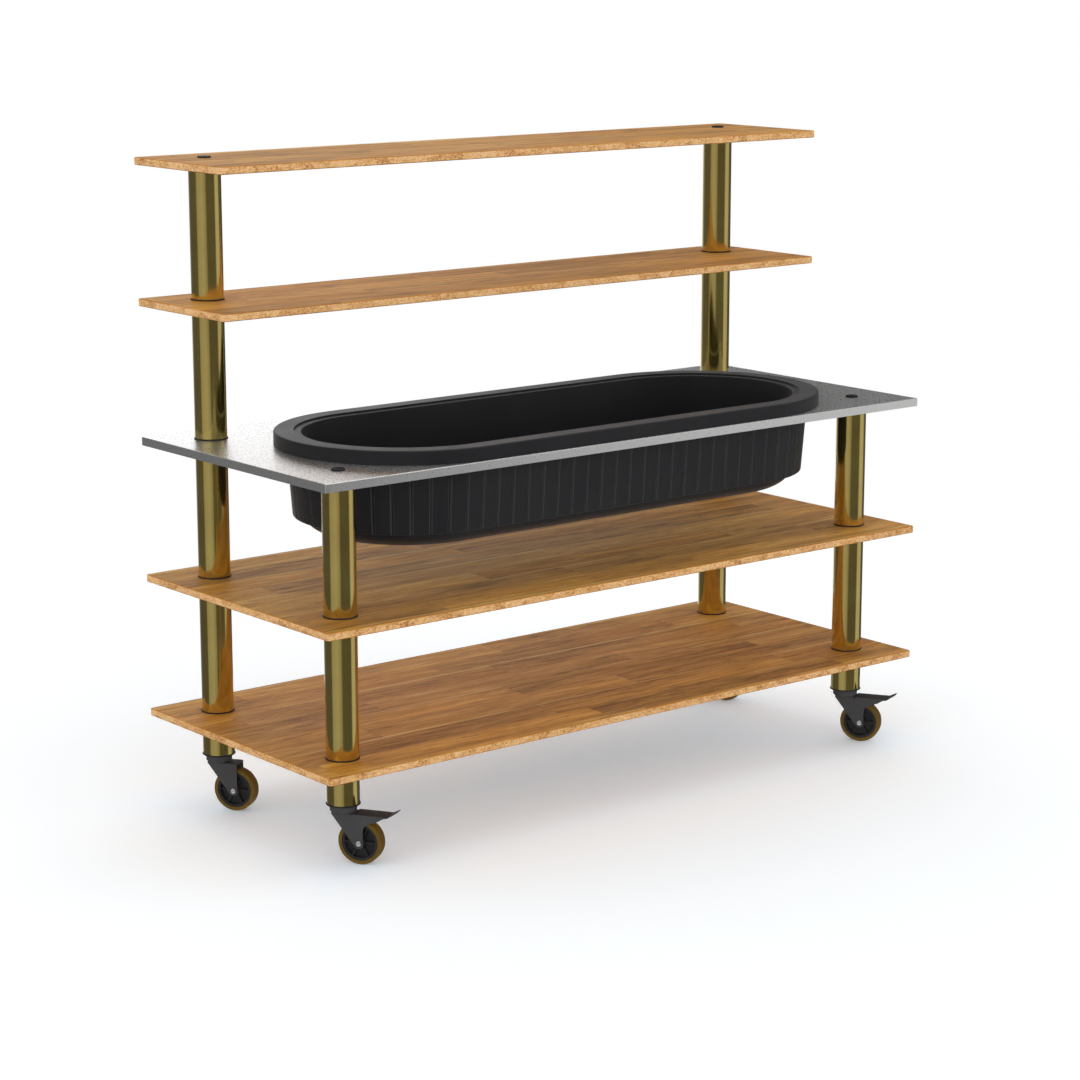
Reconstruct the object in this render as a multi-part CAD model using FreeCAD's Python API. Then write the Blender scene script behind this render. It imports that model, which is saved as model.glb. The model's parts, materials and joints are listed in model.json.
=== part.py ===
import FreeCAD, Part
import math
import os

# Mobile back bar station, built as its separate pieces. Lengths are in millimetres, angles in degrees.
# Two deep wooden shelves, a metal-clad counter and two narrow upper shelves are threaded on four columns.
# A column is a stack of tubes round a tie rod, clamped between a caster below and a cap nut above.
# A double-walled oval ice tub hangs by its rim in the counter and lifts out.
# Frame: X runs along the length to the right, Y runs to the back, Z up, origin on the floor at the middle.

V = FreeCAD.Vector
ORIGIN = V(0, 0, 0)
ALONG = V(1, 0, 0)
ACROSS = V(0, 1, 0)
UP = V(0, 0, 1)

# Boards and counter
length = 1830.0
depth = 760.0
upper_depth = 370.0
board_thickness = 18.0
board_corner_radius = 7.0
board_edge_radius = 2.5
counter_thickness = 20.0
skin_thickness = 1.5
skin_fold_radius = 2.0

# Columns
tube_radius = 38.0
tube_wall = 1.5
column_inset_end = 117.0
column_inset_edge = 120.0
stub_length = 86.0
lower_span = 312.0
upper_span = 310.0
flange_overhang = 1.8
flange_thickness = 3.0
plug_depth = 14.0
plug_clearance = 0.3
rod_radius = 6.0
rod_clearance = 0.5
rod_end_gap = 1.0
thread_clearance = 0.1
socket_across_flats = 19.0
socket_length = 40.0
socket_grip = 18.0
cap_radius = 16.0
cap_height = 4.5
cap_edge_radius = 3.0
cap_hex_across_flats = 8.0
cap_hex_depth = 2.5
cap_sleeve_wall = 2.0
cap_sleeve_length = 15.0

# Ice tub: a reach is measured out from the line that joins the centres of the two round ends,
# and a rise up from the tub's underside.
# The end gap runs from the end of the rim to the column axes.
tub_offset_x = -14.0
tub_offset_y = -64.0
tub_end_gap = 21.5
tub_depth = 207.0
rim_reach = 310.0
rim_height = 33.0
rim_edge_radius = 5.0
rim_skirt_wall = 4.0
rim_step_reach = 262.0
rim_step_depth = 5.0
rim_step_radius = 1.5
mouth_reach = 245.0
mouth_edge_radius = 2.5
liner_wall = 4.0
liner_floor_reach = 219.0
liner_floor_rise = 28.0
liner_floor_radius = 36.0
rib_crest_reach = 281.0
rib_draft_angle = 4.3
rib_bottom_rise = 39.0
rib_toe_radius = 3.0
shell_wall = 4.0
groove_depth = 5.0
groove_mouth_width = 8.0
groove_floor_width = 3.5
groove_pitch = 43.8
groove_top_depth = 26.0
base_step_reach = 240.0
base_shoulder_reach = 237.0
base_shoulder_rise = 22.0
base_shoulder_radius = 30.0
base_foot_reach = 203.0
base_foot_radius = 70.0
foam_clearance = 0.3
cut_out_clearance = 2.0

# Casters: the trail runs level from the swivel axis to the axle, the heading is its direction from above
caster_heading = -56.0
wheel_radius = 52.5
wheel_trail = 43.5
wheel_headroom = 10.5
tread_width = 30.0
tread_thickness = 9.5
tread_edge_radius = 4.0
hub_inset = 1.0
hub_rim_thickness = 6.5
hub_web_thickness = 9.0
hub_boss_radius = 13.5
hub_rib_count = 6
hub_rib_thickness = 4.0
hub_rib_recess = 2.0
hub_edge_radius = 1.2
hub_end_gap = 0.3
running_clearance = 0.1
axle_radius = 4.0
axle_spacer_wall = 2.0
axle_head_radius = 6.8
axle_head_height = 3.4
axle_head_round = 2.2
axle_dimple_radius = 1.6
axle_nut_across_flats = 13.0
axle_nut_thickness = 6.5
fork_tread_gap = 3.2
fork_plate_thickness = 3.0
fork_top_thickness = 4.0
fork_bend_radius = 3.0
fork_back_reach = 22.5
fork_back_drop = 1.5
fork_front_margin = 10.0
fork_eye_drop = 13.0
fork_eye_back = 6.0
fork_eye_back_radius = 12.0
fork_eye_front_radius = 8.0
fork_crown_radius = 27.0
fork_crown_height = 10.0
fork_corner_radius = 2.0
stem_cup_radius = 31.0
stem_cup_thickness = 3.0
stem_cup_gap = 3.0
stem_cup_edge_radius = 2.0
kingpin_radius = 10.0
kingpin_head_radius = 15.0
kingpin_head_thickness = 3.5
kingpin_head_round = 1.0
swivel_gap = 0.25
washer_radius = 26.0
washer_thickness = 4.0

# Brake pedal of the two front casters, which rides astride the fork and carries its top line on
pedal_wall = 2.0
pedal_fork_gap = 0.4
pedal_leg_gap = 2.0
pedal_heel_gap = 1.0
pedal_top_rise = 0.5
pedal_pivot_setback = 6.5
pedal_pivot_drop = 10.0
pedal_heel = 16.0
pedal_reach = 88.0
pedal_depth = 41.0
pedal_slope_drop = 0.5
pedal_tip_rise = 12.5
pedal_tip_half_width = 10.0
pedal_corner_radius = 3.0
pedal_toe_radius = 1.5
pedal_throat_radius = 18.0
pedal_belly_radius = 30.0
pedal_curve_radius = 10.0
pedal_ridge_height = 5.0
pedal_ridge_width = 4.0
pedal_pin_radius = 3.0
pedal_pin_head_radius = 4.5
pedal_pin_head_thickness = 1.2
shoe_thickness = 3.0
shoe_half_width = 11.0
shoe_setback = 17.0
shoe_gap = 4.6

# Side of the pedal as shares of its reach past the pivot and of its depth below the top plate
pedal_heel_depth_share = 0.34
pedal_toe_shares = (0.089, 1.0)
pedal_throat_shares = (0.089, 0.634)
pedal_belly_shares = (0.516, 0.278)
pedal_chest_shares = (0.64, 0.1)
pedal_neck_share = 0.76
pedal_ridge_share = 0.36

# One overrun carries every cut past the face that it leaves by
overrun = 1.0

# Heights above the floor
axle_z = wheel_radius
fork_top_z = 2 * wheel_radius + wheel_headroom + fork_top_thickness
crown_top_z = fork_top_z + fork_crown_height
cup_inner_z = crown_top_z + washer_thickness + 2 * swivel_gap
caster_height = cup_inner_z + stem_cup_thickness
lower_shelf_z = caster_height + flange_thickness + stub_length
middle_shelf_z = lower_shelf_z + board_thickness + lower_span
counter_z = middle_shelf_z + board_thickness + lower_span
counter_top_z = counter_z + counter_thickness
upper_shelf_z = counter_top_z + upper_span
top_shelf_z = upper_shelf_z + board_thickness + upper_span
socket_z = caster_height + flange_thickness + plug_depth

# Each span of a column runs from the first height to the second
spans = {
    "stub_tube": (caster_height, lower_shelf_z),
    "lower_tube": (lower_shelf_z + board_thickness, middle_shelf_z),
    "middle_tube": (middle_shelf_z + board_thickness, counter_z),
    "upper_tube": (counter_top_z, upper_shelf_z),
    "top_tube": (upper_shelf_z + board_thickness, top_shelf_z),
}
front_spans = ("stub_tube", "lower_tube", "middle_tube")
column_x = length / 2 - column_inset_end
column_y = depth / 2 - column_inset_edge
tub_half_straight = column_x + tub_offset_x - rim_reach - tub_end_gap
columns = {
    "front_left": (-column_x, -column_y),
    "front_right": (column_x, -column_y),
    "rear_left": (-column_x, column_y),
    "rear_right": (column_x, column_y),
}
bore_radius = tube_radius - tube_wall
rod_hole_radius = rod_radius + rod_clearance
sleeve_bore_radius = rod_radius + thread_clearance
sleeve_radius = sleeve_bore_radius + cap_sleeve_wall
cap_hole_radius = sleeve_radius + rod_clearance
rib_draft = math.tan(math.radians(rib_draft_angle))
liner_floor_depth = tub_depth - liner_floor_rise
rib_bottom_depth = tub_depth - rib_bottom_rise
base_shoulder_depth = tub_depth - base_shoulder_rise
fork_inner = tread_width / 2 + fork_tread_gap
fork_outer = fork_inner + fork_plate_thickness
fork_front = wheel_trail + fork_front_margin
hub_radius = wheel_radius - tread_thickness
pedal_inner = fork_outer + pedal_fork_gap
pedal_outer = pedal_inner + pedal_wall
pedal_top_z = fork_top_z + pedal_top_rise
pivot_x = fork_front - pedal_pivot_setback
heel_x = pivot_x - pedal_heel
pivot_z = pedal_top_z - pedal_pivot_drop

os.makedirs("parts", exist_ok=True)


def save(name, shape):
    """Write one piece, or one group of equal pieces, under its node name."""
    shape.exportStep("parts/" + name + ".step")


def group(shapes):
    return Part.makeCompound(list(shapes))


def disc(radius, height, base=ORIGIN, axis=UP):
    return Part.makeCylinder(radius, height, base, axis)


def ring(outer, inner, height, base=ORIGIN):
    return disc(outer, height, base).cut(disc(inner, height, base))


def block(low, high):
    """Box between two opposite corners."""
    size = high - low
    return Part.makeBox(size.x, size.y, size.z, low)


def prism(across_flats, height, base):
    """Upright hexagonal bar."""
    corner = across_flats / math.sqrt(3)
    turns = [math.radians(60 * k) for k in range(7)]
    points = [base + V(corner * math.cos(turn), corner * math.sin(turn), 0) for turn in turns]
    return Part.Face(Part.makePolygon(points)).extrude(UP * height)


def plan(point, z=0):
    """Outline point laid flat at a height."""
    return V(point.x, point.y, z)


def side(point, y=0):
    """Outline point stood up in a plane along X."""
    return V(point.x, y, point.y)


def section(point):
    """Outline point stood up in the plane across X."""
    return V(0, point.x, point.y)


def outline(corners, place):
    """Face inside the corners (u, v, radius), each rounded by its radius and set in space by place."""
    points = [V(u, v, 0) for u, v, radius in corners]
    arcs = []
    for k, here in enumerate(points):
        radius = corners[k][2]
        back = (points[k - 1] - here).normalize()
        ahead = (points[(k + 1) % len(points)] - here).normalize()
        half = back.getAngle(ahead) / 2
        reach = radius / math.tan(half)
        inward = (back + ahead).normalize()
        middle = here + inward * (radius / math.sin(half) - radius)
        arcs.append((here + back * reach, middle, here + ahead * reach))
    edges = []
    for k, (start, middle, end) in enumerate(arcs):
        if corners[k][2] > 0:
            edges.append(Part.Arc(place(start), place(middle), place(end)).toShape())
        edges.append(Part.makeLine(place(end), place(arcs[(k + 1) % len(arcs)][0])))
    return Part.Face(Part.Wire(edges))


def turned(corners):
    """Solid turned about Z from a section (radius, height, corner radius)."""
    return outline(corners, side).revolve(ORIGIN, UP, 360)


def stood_on_side(shape, x, z):
    """A turned piece laid over so that its axis runs along Y through x, z."""
    shape.rotate(ORIGIN, ALONG, -90)
    shape.translate(V(x, 0, z))
    return shape


def inset(corners, distance):
    """An open run of corners moved inward, square to its stretches; a minus distance moves it outward."""
    points = [V(u, v, 0) for u, v, radius in corners]
    normals = []
    for here, following in zip(points, points[1:]):
        step = (following - here).normalize()
        normals.append(V(step.y, -step.x, 0))
    normals = normals[:1] + normals + normals[-1:]
    moved = []
    for k, (u, v, radius) in enumerate(corners):
        first, second = normals[k], normals[k + 1]
        shift = (first + second) * (distance / (1 + first.dot(second)))
        convex = first.cross(second).z < 0
        rounded = radius - distance if convex else radius + distance
        moved.append((u + shift.x, v + shift.y, max(rounded, 0) if radius > 0 else 0))
    return moved


def oval(corners):
    """Oval solid of one section (reach, height, radius), run along both straights and turned at the ends."""
    half = outline(corners, section)
    run = V(2 * tub_half_straight, 0, 0)
    centre = V(tub_half_straight, 0, 0)
    pieces = []
    for turn in (0, 180):
        face = half.copy()
        face.translate(-centre)
        straight = face.extrude(run)
        end = face.revolve(-centre, UP, 180)
        straight.rotate(ORIGIN, UP, turn)
        end.rotate(ORIGIN, UP, turn)
        pieces += [straight, end]
    return pieces[0].multiFuse(pieces[1:]).removeSplitter()


def oval_bucket(run):
    """Filled oval solid whose outside follows an open run of corners from the top down to the middle."""
    return oval(run + [(0, run[0][1], 0)])


def in_counter(shape):
    shape.translate(V(tub_offset_x, tub_offset_y, counter_top_z))
    return shape


def cut_out(z, height):
    """Oval hole of the counter, as a solid from z up."""
    reach = rib_crest_reach + cut_out_clearance
    hole = oval([(0, 0, 0), (reach, 0, 0), (reach, height, 0), (0, height, 0)])
    hole.translate(V(tub_offset_x, tub_offset_y, z))
    return hole


def column_holes(z, height, rod_columns, cap_columns):
    """Bores for the tie rods, and wider ones for the sleeves of the cap nuts."""
    low = V(0, 0, z - overrun)
    through = height + 2 * overrun
    holes = [disc(rod_hole_radius, through, low + V(*columns[name], 0)) for name in rod_columns]
    holes += [disc(cap_hole_radius, through, low + V(*columns[name], 0)) for name in cap_columns]
    return holes


def board(board_depth, z, rod_columns, cap_columns):
    """Wooden shelf with rounded corners and eased edges, flush with the back of the station."""
    back = depth / 2
    front = back - board_depth
    radius = board_corner_radius
    corners = [(-length / 2, front, radius), (length / 2, front, radius),
               (length / 2, back, radius), (-length / 2, back, radius)]
    slab = outline(corners, plan).extrude(UP * board_thickness)
    rims = [edge for edge in slab.Edges if edge.BoundBox.ZLength < board_edge_radius]
    slab = slab.makeFillet(board_edge_radius, rims)
    slab.translate(UP * z)
    return slab.cut(column_holes(z, board_thickness, rod_columns, cap_columns))


def counter_pieces():
    """Panel core and the folded metal tray over its top and edges."""
    fronts = ("front_left", "front_right")
    rears = ("rear_left", "rear_right")
    high = V(length / 2, depth / 2, counter_top_z)
    low = V(-length / 2, -depth / 2, counter_z)
    inner = V(skin_thickness, skin_thickness, skin_thickness)
    core = block(low + V(inner.x, inner.y, 0), high - inner)
    tray = block(low, high)
    folds = [edge for edge in tray.Edges if edge.BoundBox.ZMin > counter_z]
    tray = tray.makeFillet(skin_fold_radius, folds).cut(core)
    removed = column_holes(counter_z, counter_thickness, rears, fronts)
    removed.append(cut_out(counter_z - overrun, counter_thickness + 2 * overrun))
    return core.cut(removed), tray.cut(removed)


def shell_run(groove):
    """Outside of the ribbed shell, from its top down to the middle of its base."""
    crest = rib_crest_reach - groove
    toe = crest - rib_bottom_depth * rib_draft
    return [
        (crest, rim_height - liner_wall, 0),
        (crest, 0, 0),
        (toe, -rib_bottom_depth, rib_toe_radius),
        (base_step_reach, -rib_bottom_depth, 0),
        (base_shoulder_reach, -base_shoulder_depth, base_shoulder_radius),
        (base_foot_reach, -tub_depth, base_foot_radius),
        (0, -tub_depth, 0),
    ]


def liner_run():
    """Outside of the liner's well, from under the ledge down to the middle of its floor."""
    base = -liner_floor_depth - liner_wall
    return [
        (mouth_reach + liner_wall, rim_height - rim_step_depth - liner_wall, 0),
        (liner_floor_reach + liner_wall, base, liner_floor_radius + liner_wall),
        (0, base, 0),
    ]


def tub_liner():
    """Smooth well with its floor, the stepped ledge for a cover and the hollow rim that sits on the top."""
    ledge = rim_height - rim_step_depth
    under = ledge - liner_wall
    corners = [
        (rim_reach, 0, 0),
        (rim_reach, rim_height, rim_edge_radius),
        (rim_step_reach, rim_height, rim_step_radius),
        (rim_step_reach, ledge, 0),
        (mouth_reach, ledge, mouth_edge_radius),
        (liner_floor_reach, -liner_floor_depth, liner_floor_radius),
        (0, -liner_floor_depth, 0),
        (0, -liner_floor_depth - liner_wall, 0),
        (liner_floor_reach + liner_wall, -liner_floor_depth - liner_wall, liner_floor_radius + liner_wall),
        (mouth_reach + liner_wall, under, 0),
        (rim_step_reach + liner_wall, under, 0),
        (rim_step_reach + liner_wall, rim_height - liner_wall, 0),
        (rim_reach - rim_skirt_wall, rim_height - liner_wall, rim_step_radius),
        (rim_reach - rim_skirt_wall, 0, 0),
    ]
    return in_counter(oval(corners))


def groove_cutter():
    """Tapered groove at the middle of the shell's back wall, leaning with the draft of the ribs."""
    lean = (groove_mouth_width - groove_floor_width) / 2 / groove_depth
    mouth = groove_mouth_width / 2 + lean * overrun
    floor = groove_floor_width / 2
    surface = rib_crest_reach - groove_top_depth * rib_draft
    inner = surface - groove_depth
    outer = surface + overrun
    z = -groove_top_depth
    points = [V(-mouth, outer, z), V(-floor, inner, z), V(floor, inner, z), V(mouth, outer, z)]
    fall = rib_bottom_depth - groove_top_depth + overrun
    return Part.Face(Part.makePolygon(points + points[:1])).extrude(V(0, -fall * rib_draft, -fall))


def grooves():
    """Grooves at one pitch along both straights and, as near to it as they divide, round both ends."""
    cutter = groove_cutter()
    steps = math.floor(tub_half_straight / groove_pitch)
    reach = rib_crest_reach - groove_depth
    first = (groove_pitch - (tub_half_straight - steps * groove_pitch)) / reach
    gaps = round((math.pi - 2 * first) * reach / groove_pitch)
    pitch = (math.pi - 2 * first) / gaps
    cutters = []
    for turn in (0, 180):
        row = []
        for k in range(-steps, steps + 1):
            groove = cutter.copy()
            groove.translate(V(k * groove_pitch, 0, 0))
            row.append(groove)
        for k in range(gaps + 1):
            groove = cutter.copy()
            groove.rotate(ORIGIN, UP, math.degrees(first + k * pitch))
            groove.translate(V(-tub_half_straight, 0, 0))
            row.append(groove)
        for groove in row:
            groove.rotate(ORIGIN, UP, turn)
        cutters += row
    return cutters


def tub_shell():
    """Outer wall with its drafted ribs, the step under their toes and the rounded base."""
    inner = inset(shell_run(groove_depth), shell_wall)
    inner[0] = (inner[0][0], inner[0][1] + overrun, 0)
    shell = oval_bucket(shell_run(0)).cut(oval_bucket(inner))
    return in_counter(shell.cut(grooves()))


def tub_insulation():
    """Foam between the liner and the shell, clear of both."""
    outer = inset(shell_run(groove_depth), shell_wall + foam_clearance)
    top = rim_height - rim_step_depth - liner_wall - foam_clearance
    outer[0] = (outer[0][0], top, 0)
    return in_counter(oval_bucket(outer).cut(oval_bucket(inset(liner_run(), -foam_clearance))))


def foot_plug(z):
    """Plug in the lower end of a tube, with the flange that the tube stands on."""
    plug = disc(tube_radius + flange_overhang, flange_thickness).fuse(
        disc(bore_radius - plug_clearance, flange_thickness + plug_depth))
    plug = plug.cut(disc(rod_hole_radius, flange_thickness + plug_depth))
    plug.translate(UP * z)
    return plug


def head_plug(z):
    """Plug flush in the upper end of a tube."""
    return ring(bore_radius - plug_clearance, rod_hole_radius, plug_depth, UP * (z - plug_depth))


def cap_nut(z):
    """Low round cap with a hexagon socket, and the threaded sleeve under it."""
    cap = turned([
        (0, cap_height, 0), (0, 0, 0), (cap_radius, 0, 0), (cap_radius, cap_height, cap_edge_radius)])
    cap = cap.fuse(disc(sleeve_radius, cap_sleeve_length, UP * -cap_sleeve_length))
    cap = cap.cut([
        disc(sleeve_bore_radius, cap_sleeve_length, UP * -cap_sleeve_length),
        prism(cap_hex_across_flats, cap_hex_depth + overrun, UP * (cap_height - cap_hex_depth))])
    cap.translate(UP * z)
    return cap


def stem_socket():
    """Long coupling nut that joins the caster's stem to the tie rod."""
    return prism(socket_across_flats, socket_length, UP * socket_z).cut(
        disc(sleeve_bore_radius, socket_length, UP * socket_z))


def caster_stem():
    """Threaded stem, dust cup and riveted kingpin of a caster, fixed to the column."""
    skirt_z = fork_top_z + stem_cup_gap
    head_z = fork_top_z - fork_top_thickness - swivel_gap
    stem = turned([
        (0, caster_height, 0),
        (stem_cup_radius, caster_height, stem_cup_edge_radius),
        (stem_cup_radius, skirt_z, 0),
        (stem_cup_radius - stem_cup_thickness, skirt_z, 0),
        (stem_cup_radius - stem_cup_thickness, cup_inner_z, 0),
        (kingpin_radius, cup_inner_z, 0),
        (kingpin_radius, head_z, 0),
        (kingpin_head_radius, head_z, 0),
        (kingpin_head_radius, head_z - kingpin_head_thickness, kingpin_head_round),
        (0, head_z - kingpin_head_thickness, 0),
    ])
    return stem.fuse(disc(rod_radius, socket_z + socket_grip - caster_height, UP * caster_height))


def swivel_washer():
    """Bearing washer between the fork's crown and the cup."""
    base = UP * (crown_top_z + swivel_gap)
    return ring(washer_radius, kingpin_radius + plug_clearance, washer_thickness, base)


def cross_bore(pin, x, z):
    """Bore for a pin through both legs of the fork and both flanges of the pedal."""
    return disc(pin + running_clearance, 2 * pedal_outer, V(x, -pedal_outer, z), ACROSS)


def fork(braked):
    """Pressed fork: top plate with raised crown and two tapered legs, cut back where a pedal goes on."""
    leg_bottom = axle_z - fork_eye_drop
    front = [(fork_front, fork_top_z, 0)]
    if braked:
        plate_end = heel_x - pedal_heel_gap
        leg_top = pedal_top_z - pedal_wall - pedal_leg_gap
        front = [
            (plate_end, fork_top_z, 0),
            (plate_end, leg_top, 0),
            (fork_front, leg_top, fork_corner_radius),
        ]
    corners = [
        (fork_front, leg_bottom, fork_eye_front_radius),
        (wheel_trail - fork_eye_back, leg_bottom, fork_eye_back_radius),
        (-fork_back_reach, fork_top_z - fork_back_drop, fork_corner_radius),
        (-fork_back_reach, fork_top_z, 0),
    ] + front
    body = outline(corners, lambda point: side(point, -fork_outer)).extrude(ACROSS * (2 * fork_outer))
    bends = [edge for edge in body.Edges
             if edge.BoundBox.YLength < overrun < edge.BoundBox.XLength
             and edge.BoundBox.ZMin > fork_top_z - overrun]
    body = body.makeFillet(fork_bend_radius, bends)
    inside_top = fork_top_z - fork_top_thickness
    inside_low = V(-fork_back_reach - overrun, -fork_inner, leg_bottom - overrun)
    inside_high = V(fork_front + overrun, fork_inner, inside_top)
    removed = [
        block(inside_low, inside_high),
        disc(kingpin_radius + running_clearance, crown_top_z, UP * inside_top),
        cross_bore(axle_radius, wheel_trail, axle_z),
    ]
    if braked:
        removed.append(cross_bore(pedal_pin_radius, pivot_x, pivot_z))
        removed.append(block(V(plate_end, -fork_inner, inside_top),
                             V(fork_front + overrun, fork_inner, fork_top_z)))
    return body.fuse(disc(fork_crown_radius, fork_crown_height, UP * fork_top_z)).cut(removed)


def axle_set():
    """Axle bolt with a round head towards -Y, the spacer that the wheel turns on, and the nut."""
    spacer_radius = axle_radius + running_clearance
    dimple = Part.makeSphere(axle_dimple_radius, UP * -axle_head_height)
    bolt = turned([
        (0, 0, 0), (axle_head_radius, 0, 0),
        (axle_head_radius, -axle_head_height, axle_head_round), (0, -axle_head_height, 0)]).cut(dimple)
    bolt = bolt.fuse(disc(axle_radius, 2 * fork_outer + axle_nut_thickness))
    spacer = ring(spacer_radius + axle_spacer_wall, spacer_radius, 2 * fork_inner, UP * fork_plate_thickness)
    nut_base = UP * (2 * fork_outer)
    nut = prism(axle_nut_across_flats, axle_nut_thickness, nut_base).cut(
        disc(spacer_radius, axle_nut_thickness, nut_base))
    pieces = [bolt, spacer, nut]
    for piece in pieces:
        piece.translate(UP * -fork_outer)
        stood_on_side(piece, wheel_trail, axle_z)
    return group(pieces)


def wheel_hub():
    """Moulded wheel centre: rim, web, boss and radial ribs in the recess on both faces."""
    bore = axle_radius + running_clearance + axle_spacer_wall + running_clearance
    half = tread_width / 2 - hub_inset
    boss = fork_inner - hub_end_gap
    web = hub_web_thickness / 2
    recess = hub_radius - hub_rim_thickness
    face = [(bore, boss, 0), (hub_boss_radius, boss, hub_edge_radius), (hub_boss_radius, web, 0),
            (recess, web, 0), (recess, half, hub_edge_radius), (hub_radius, half, 0)]
    hub = turned(face + [(u, -v, radius) for u, v, radius in reversed(face)])
    rib_top = half - hub_rib_recess
    ribs = []
    for k in range(hub_rib_count):
        rib = block(V(hub_boss_radius - overrun, -hub_rib_thickness / 2, -rib_top),
                    V(recess + overrun, hub_rib_thickness / 2, rib_top))
        rib.rotate(ORIGIN, UP, 360 * k / hub_rib_count)
        ribs.append(rib)
    return stood_on_side(hub.multiFuse(ribs).removeSplitter(), wheel_trail, axle_z)


def wheel_tread():
    """Cast tyre round the hub, with rounded shoulders."""
    half = tread_width / 2
    tread = turned([
        (hub_radius, half, 0), (wheel_radius, half, tread_edge_radius),
        (wheel_radius, -half, tread_edge_radius), (hub_radius, -half, 0)])
    return stood_on_side(tread, wheel_trail, axle_z)


def brake_pedal():
    """Pressed channel that rocks on its pin: level top plate, upturned toe, two flanges and a shoe."""
    def at(shares):
        return pivot_x + shares[0] * pedal_reach, pedal_top_z - shares[1] * pedal_depth

    neck_x = pivot_x + pedal_neck_share * pedal_reach
    tip_x = pivot_x + pedal_reach
    neck_z = pedal_top_z - pedal_slope_drop
    tip_z = neck_z + pedal_tip_rise
    under_z = pedal_top_z - pedal_wall
    plate_side = [
        (heel_x, pedal_top_z, 0),
        (neck_x, neck_z, pedal_curve_radius),
        (tip_x, tip_z, 0),
        (tip_x, tip_z - pedal_wall, 0),
        (neck_x, neck_z - pedal_wall, pedal_curve_radius + pedal_wall),
        (heel_x, under_z, 0),
    ]
    plate = outline(plate_side, lambda point: side(point, -pedal_outer)).extrude(ACROSS * (2 * pedal_outer))
    tip = pedal_tip_half_width
    footprint = [
        (heel_x, -pedal_outer, 0),
        (neck_x, -pedal_outer, pedal_curve_radius),
        (tip_x, -tip, pedal_corner_radius),
        (tip_x, tip, pedal_corner_radius),
        (neck_x, pedal_outer, pedal_curve_radius),
        (heel_x, pedal_outer, 0),
    ]
    plate = plate.common(outline(footprint, plan).extrude(UP * (tip_z + overrun)))
    flange_side = [
        (heel_x, under_z, 0),
        (heel_x, pedal_top_z - pedal_heel_depth_share * pedal_depth, pedal_corner_radius),
        (*at(pedal_toe_shares), pedal_toe_radius),
        (*at(pedal_throat_shares), pedal_throat_radius),
        (*at(pedal_belly_shares), pedal_belly_radius),
        (*at(pedal_chest_shares), pedal_curve_radius),
        (neck_x, neck_z - pedal_wall, 0),
    ]
    pieces = []
    for y in (-pedal_outer, pedal_inner):
        pieces.append(outline(flange_side, lambda point: side(point, y)).extrude(ACROSS * pedal_wall))
    shoe_x = pivot_x + shoe_setback
    shoe_z = axle_z + math.sqrt(wheel_radius ** 2 - (shoe_x - wheel_trail) ** 2) + shoe_gap
    pieces.append(block(V(shoe_x - shoe_thickness / 2, -shoe_half_width, shoe_z),
                        V(shoe_x + shoe_thickness / 2, shoe_half_width, under_z + pedal_wall / 2)))
    ridge_x = pivot_x + pedal_ridge_share * pedal_reach
    ridge_top = under_z + pedal_ridge_height
    pieces.append(block(V(ridge_x, -tip, under_z), V(ridge_x + pedal_ridge_width, tip, ridge_top)))
    return plate.multiFuse(pieces).removeSplitter().cut(cross_bore(pedal_pin_radius, pivot_x, pivot_z))


def pedal_pin():
    """Rivet through the fork's legs and the pedal's flanges, which the pedal rocks on."""
    half = pedal_outer + pedal_pin_head_thickness
    pin = turned([
        (0, half, 0), (pedal_pin_head_radius, half, 0), (pedal_pin_head_radius, pedal_outer, 0),
        (pedal_pin_radius, pedal_outer, 0), (pedal_pin_radius, -pedal_outer, 0),
        (pedal_pin_head_radius, -pedal_outer, 0), (pedal_pin_head_radius, -half, 0), (0, -half, 0)])
    return stood_on_side(pin, pivot_x, pivot_z)


def at_column(shape, name):
    """A caster piece turned to the heading and set under its column."""
    placed = shape.copy()
    placed.rotate(ORIGIN, UP, caster_heading)
    placed.translate(V(*columns[name], 0))
    return placed


def over_column(shape, name):
    placed = shape.copy()
    placed.translate(V(*columns[name], 0))
    return placed


def column_spans(name):
    return front_spans if name.startswith("front") else tuple(spans)


def build_boards():
    every = tuple(columns)
    rears = ("rear_left", "rear_right")
    save("lower_shelf", board(depth, lower_shelf_z, every, ()))
    save("middle_shelf", board(depth, middle_shelf_z, every, ()))
    save("upper_shelf", board(upper_depth, upper_shelf_z, rears, ()))
    save("top_shelf", board(upper_depth, top_shelf_z, (), rears))
    core, tray = counter_pieces()
    save("counter_core", core)
    save("counter_skin", tray)


def build_tub():
    save("tub_liner", tub_liner())
    save("tub_shell", tub_shell())
    save("tub_insulation", tub_insulation())


def build_columns():
    foot_plugs = []
    head_plugs = []
    sockets = []
    caps = []
    for name in columns:
        names = column_spans(name)
        for span in names:
            low, high = spans[span]
            foot = low + flange_thickness
            tube = ring(tube_radius, bore_radius, high - foot, UP * foot)
            save(span + "_" + name, over_column(tube, name))
            foot_plugs.append(over_column(foot_plug(low), name))
            head_plugs.append(over_column(head_plug(high), name))
        cap_z = counter_top_z if names == front_spans else top_shelf_z + board_thickness
        rod_z = socket_z + socket_grip + rod_end_gap
        rod = disc(rod_radius, cap_z - rod_end_gap - rod_z, UP * rod_z)
        save("tie_rod_" + name, over_column(rod, name))
        sockets.append(over_column(stem_socket(), name))
        caps.append(over_column(cap_nut(cap_z), name))
    save("foot_plugs", group(foot_plugs))
    save("head_plugs", group(head_plugs))
    save("stem_sockets", group(sockets))
    save("cap_nuts", group(caps))


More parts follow.
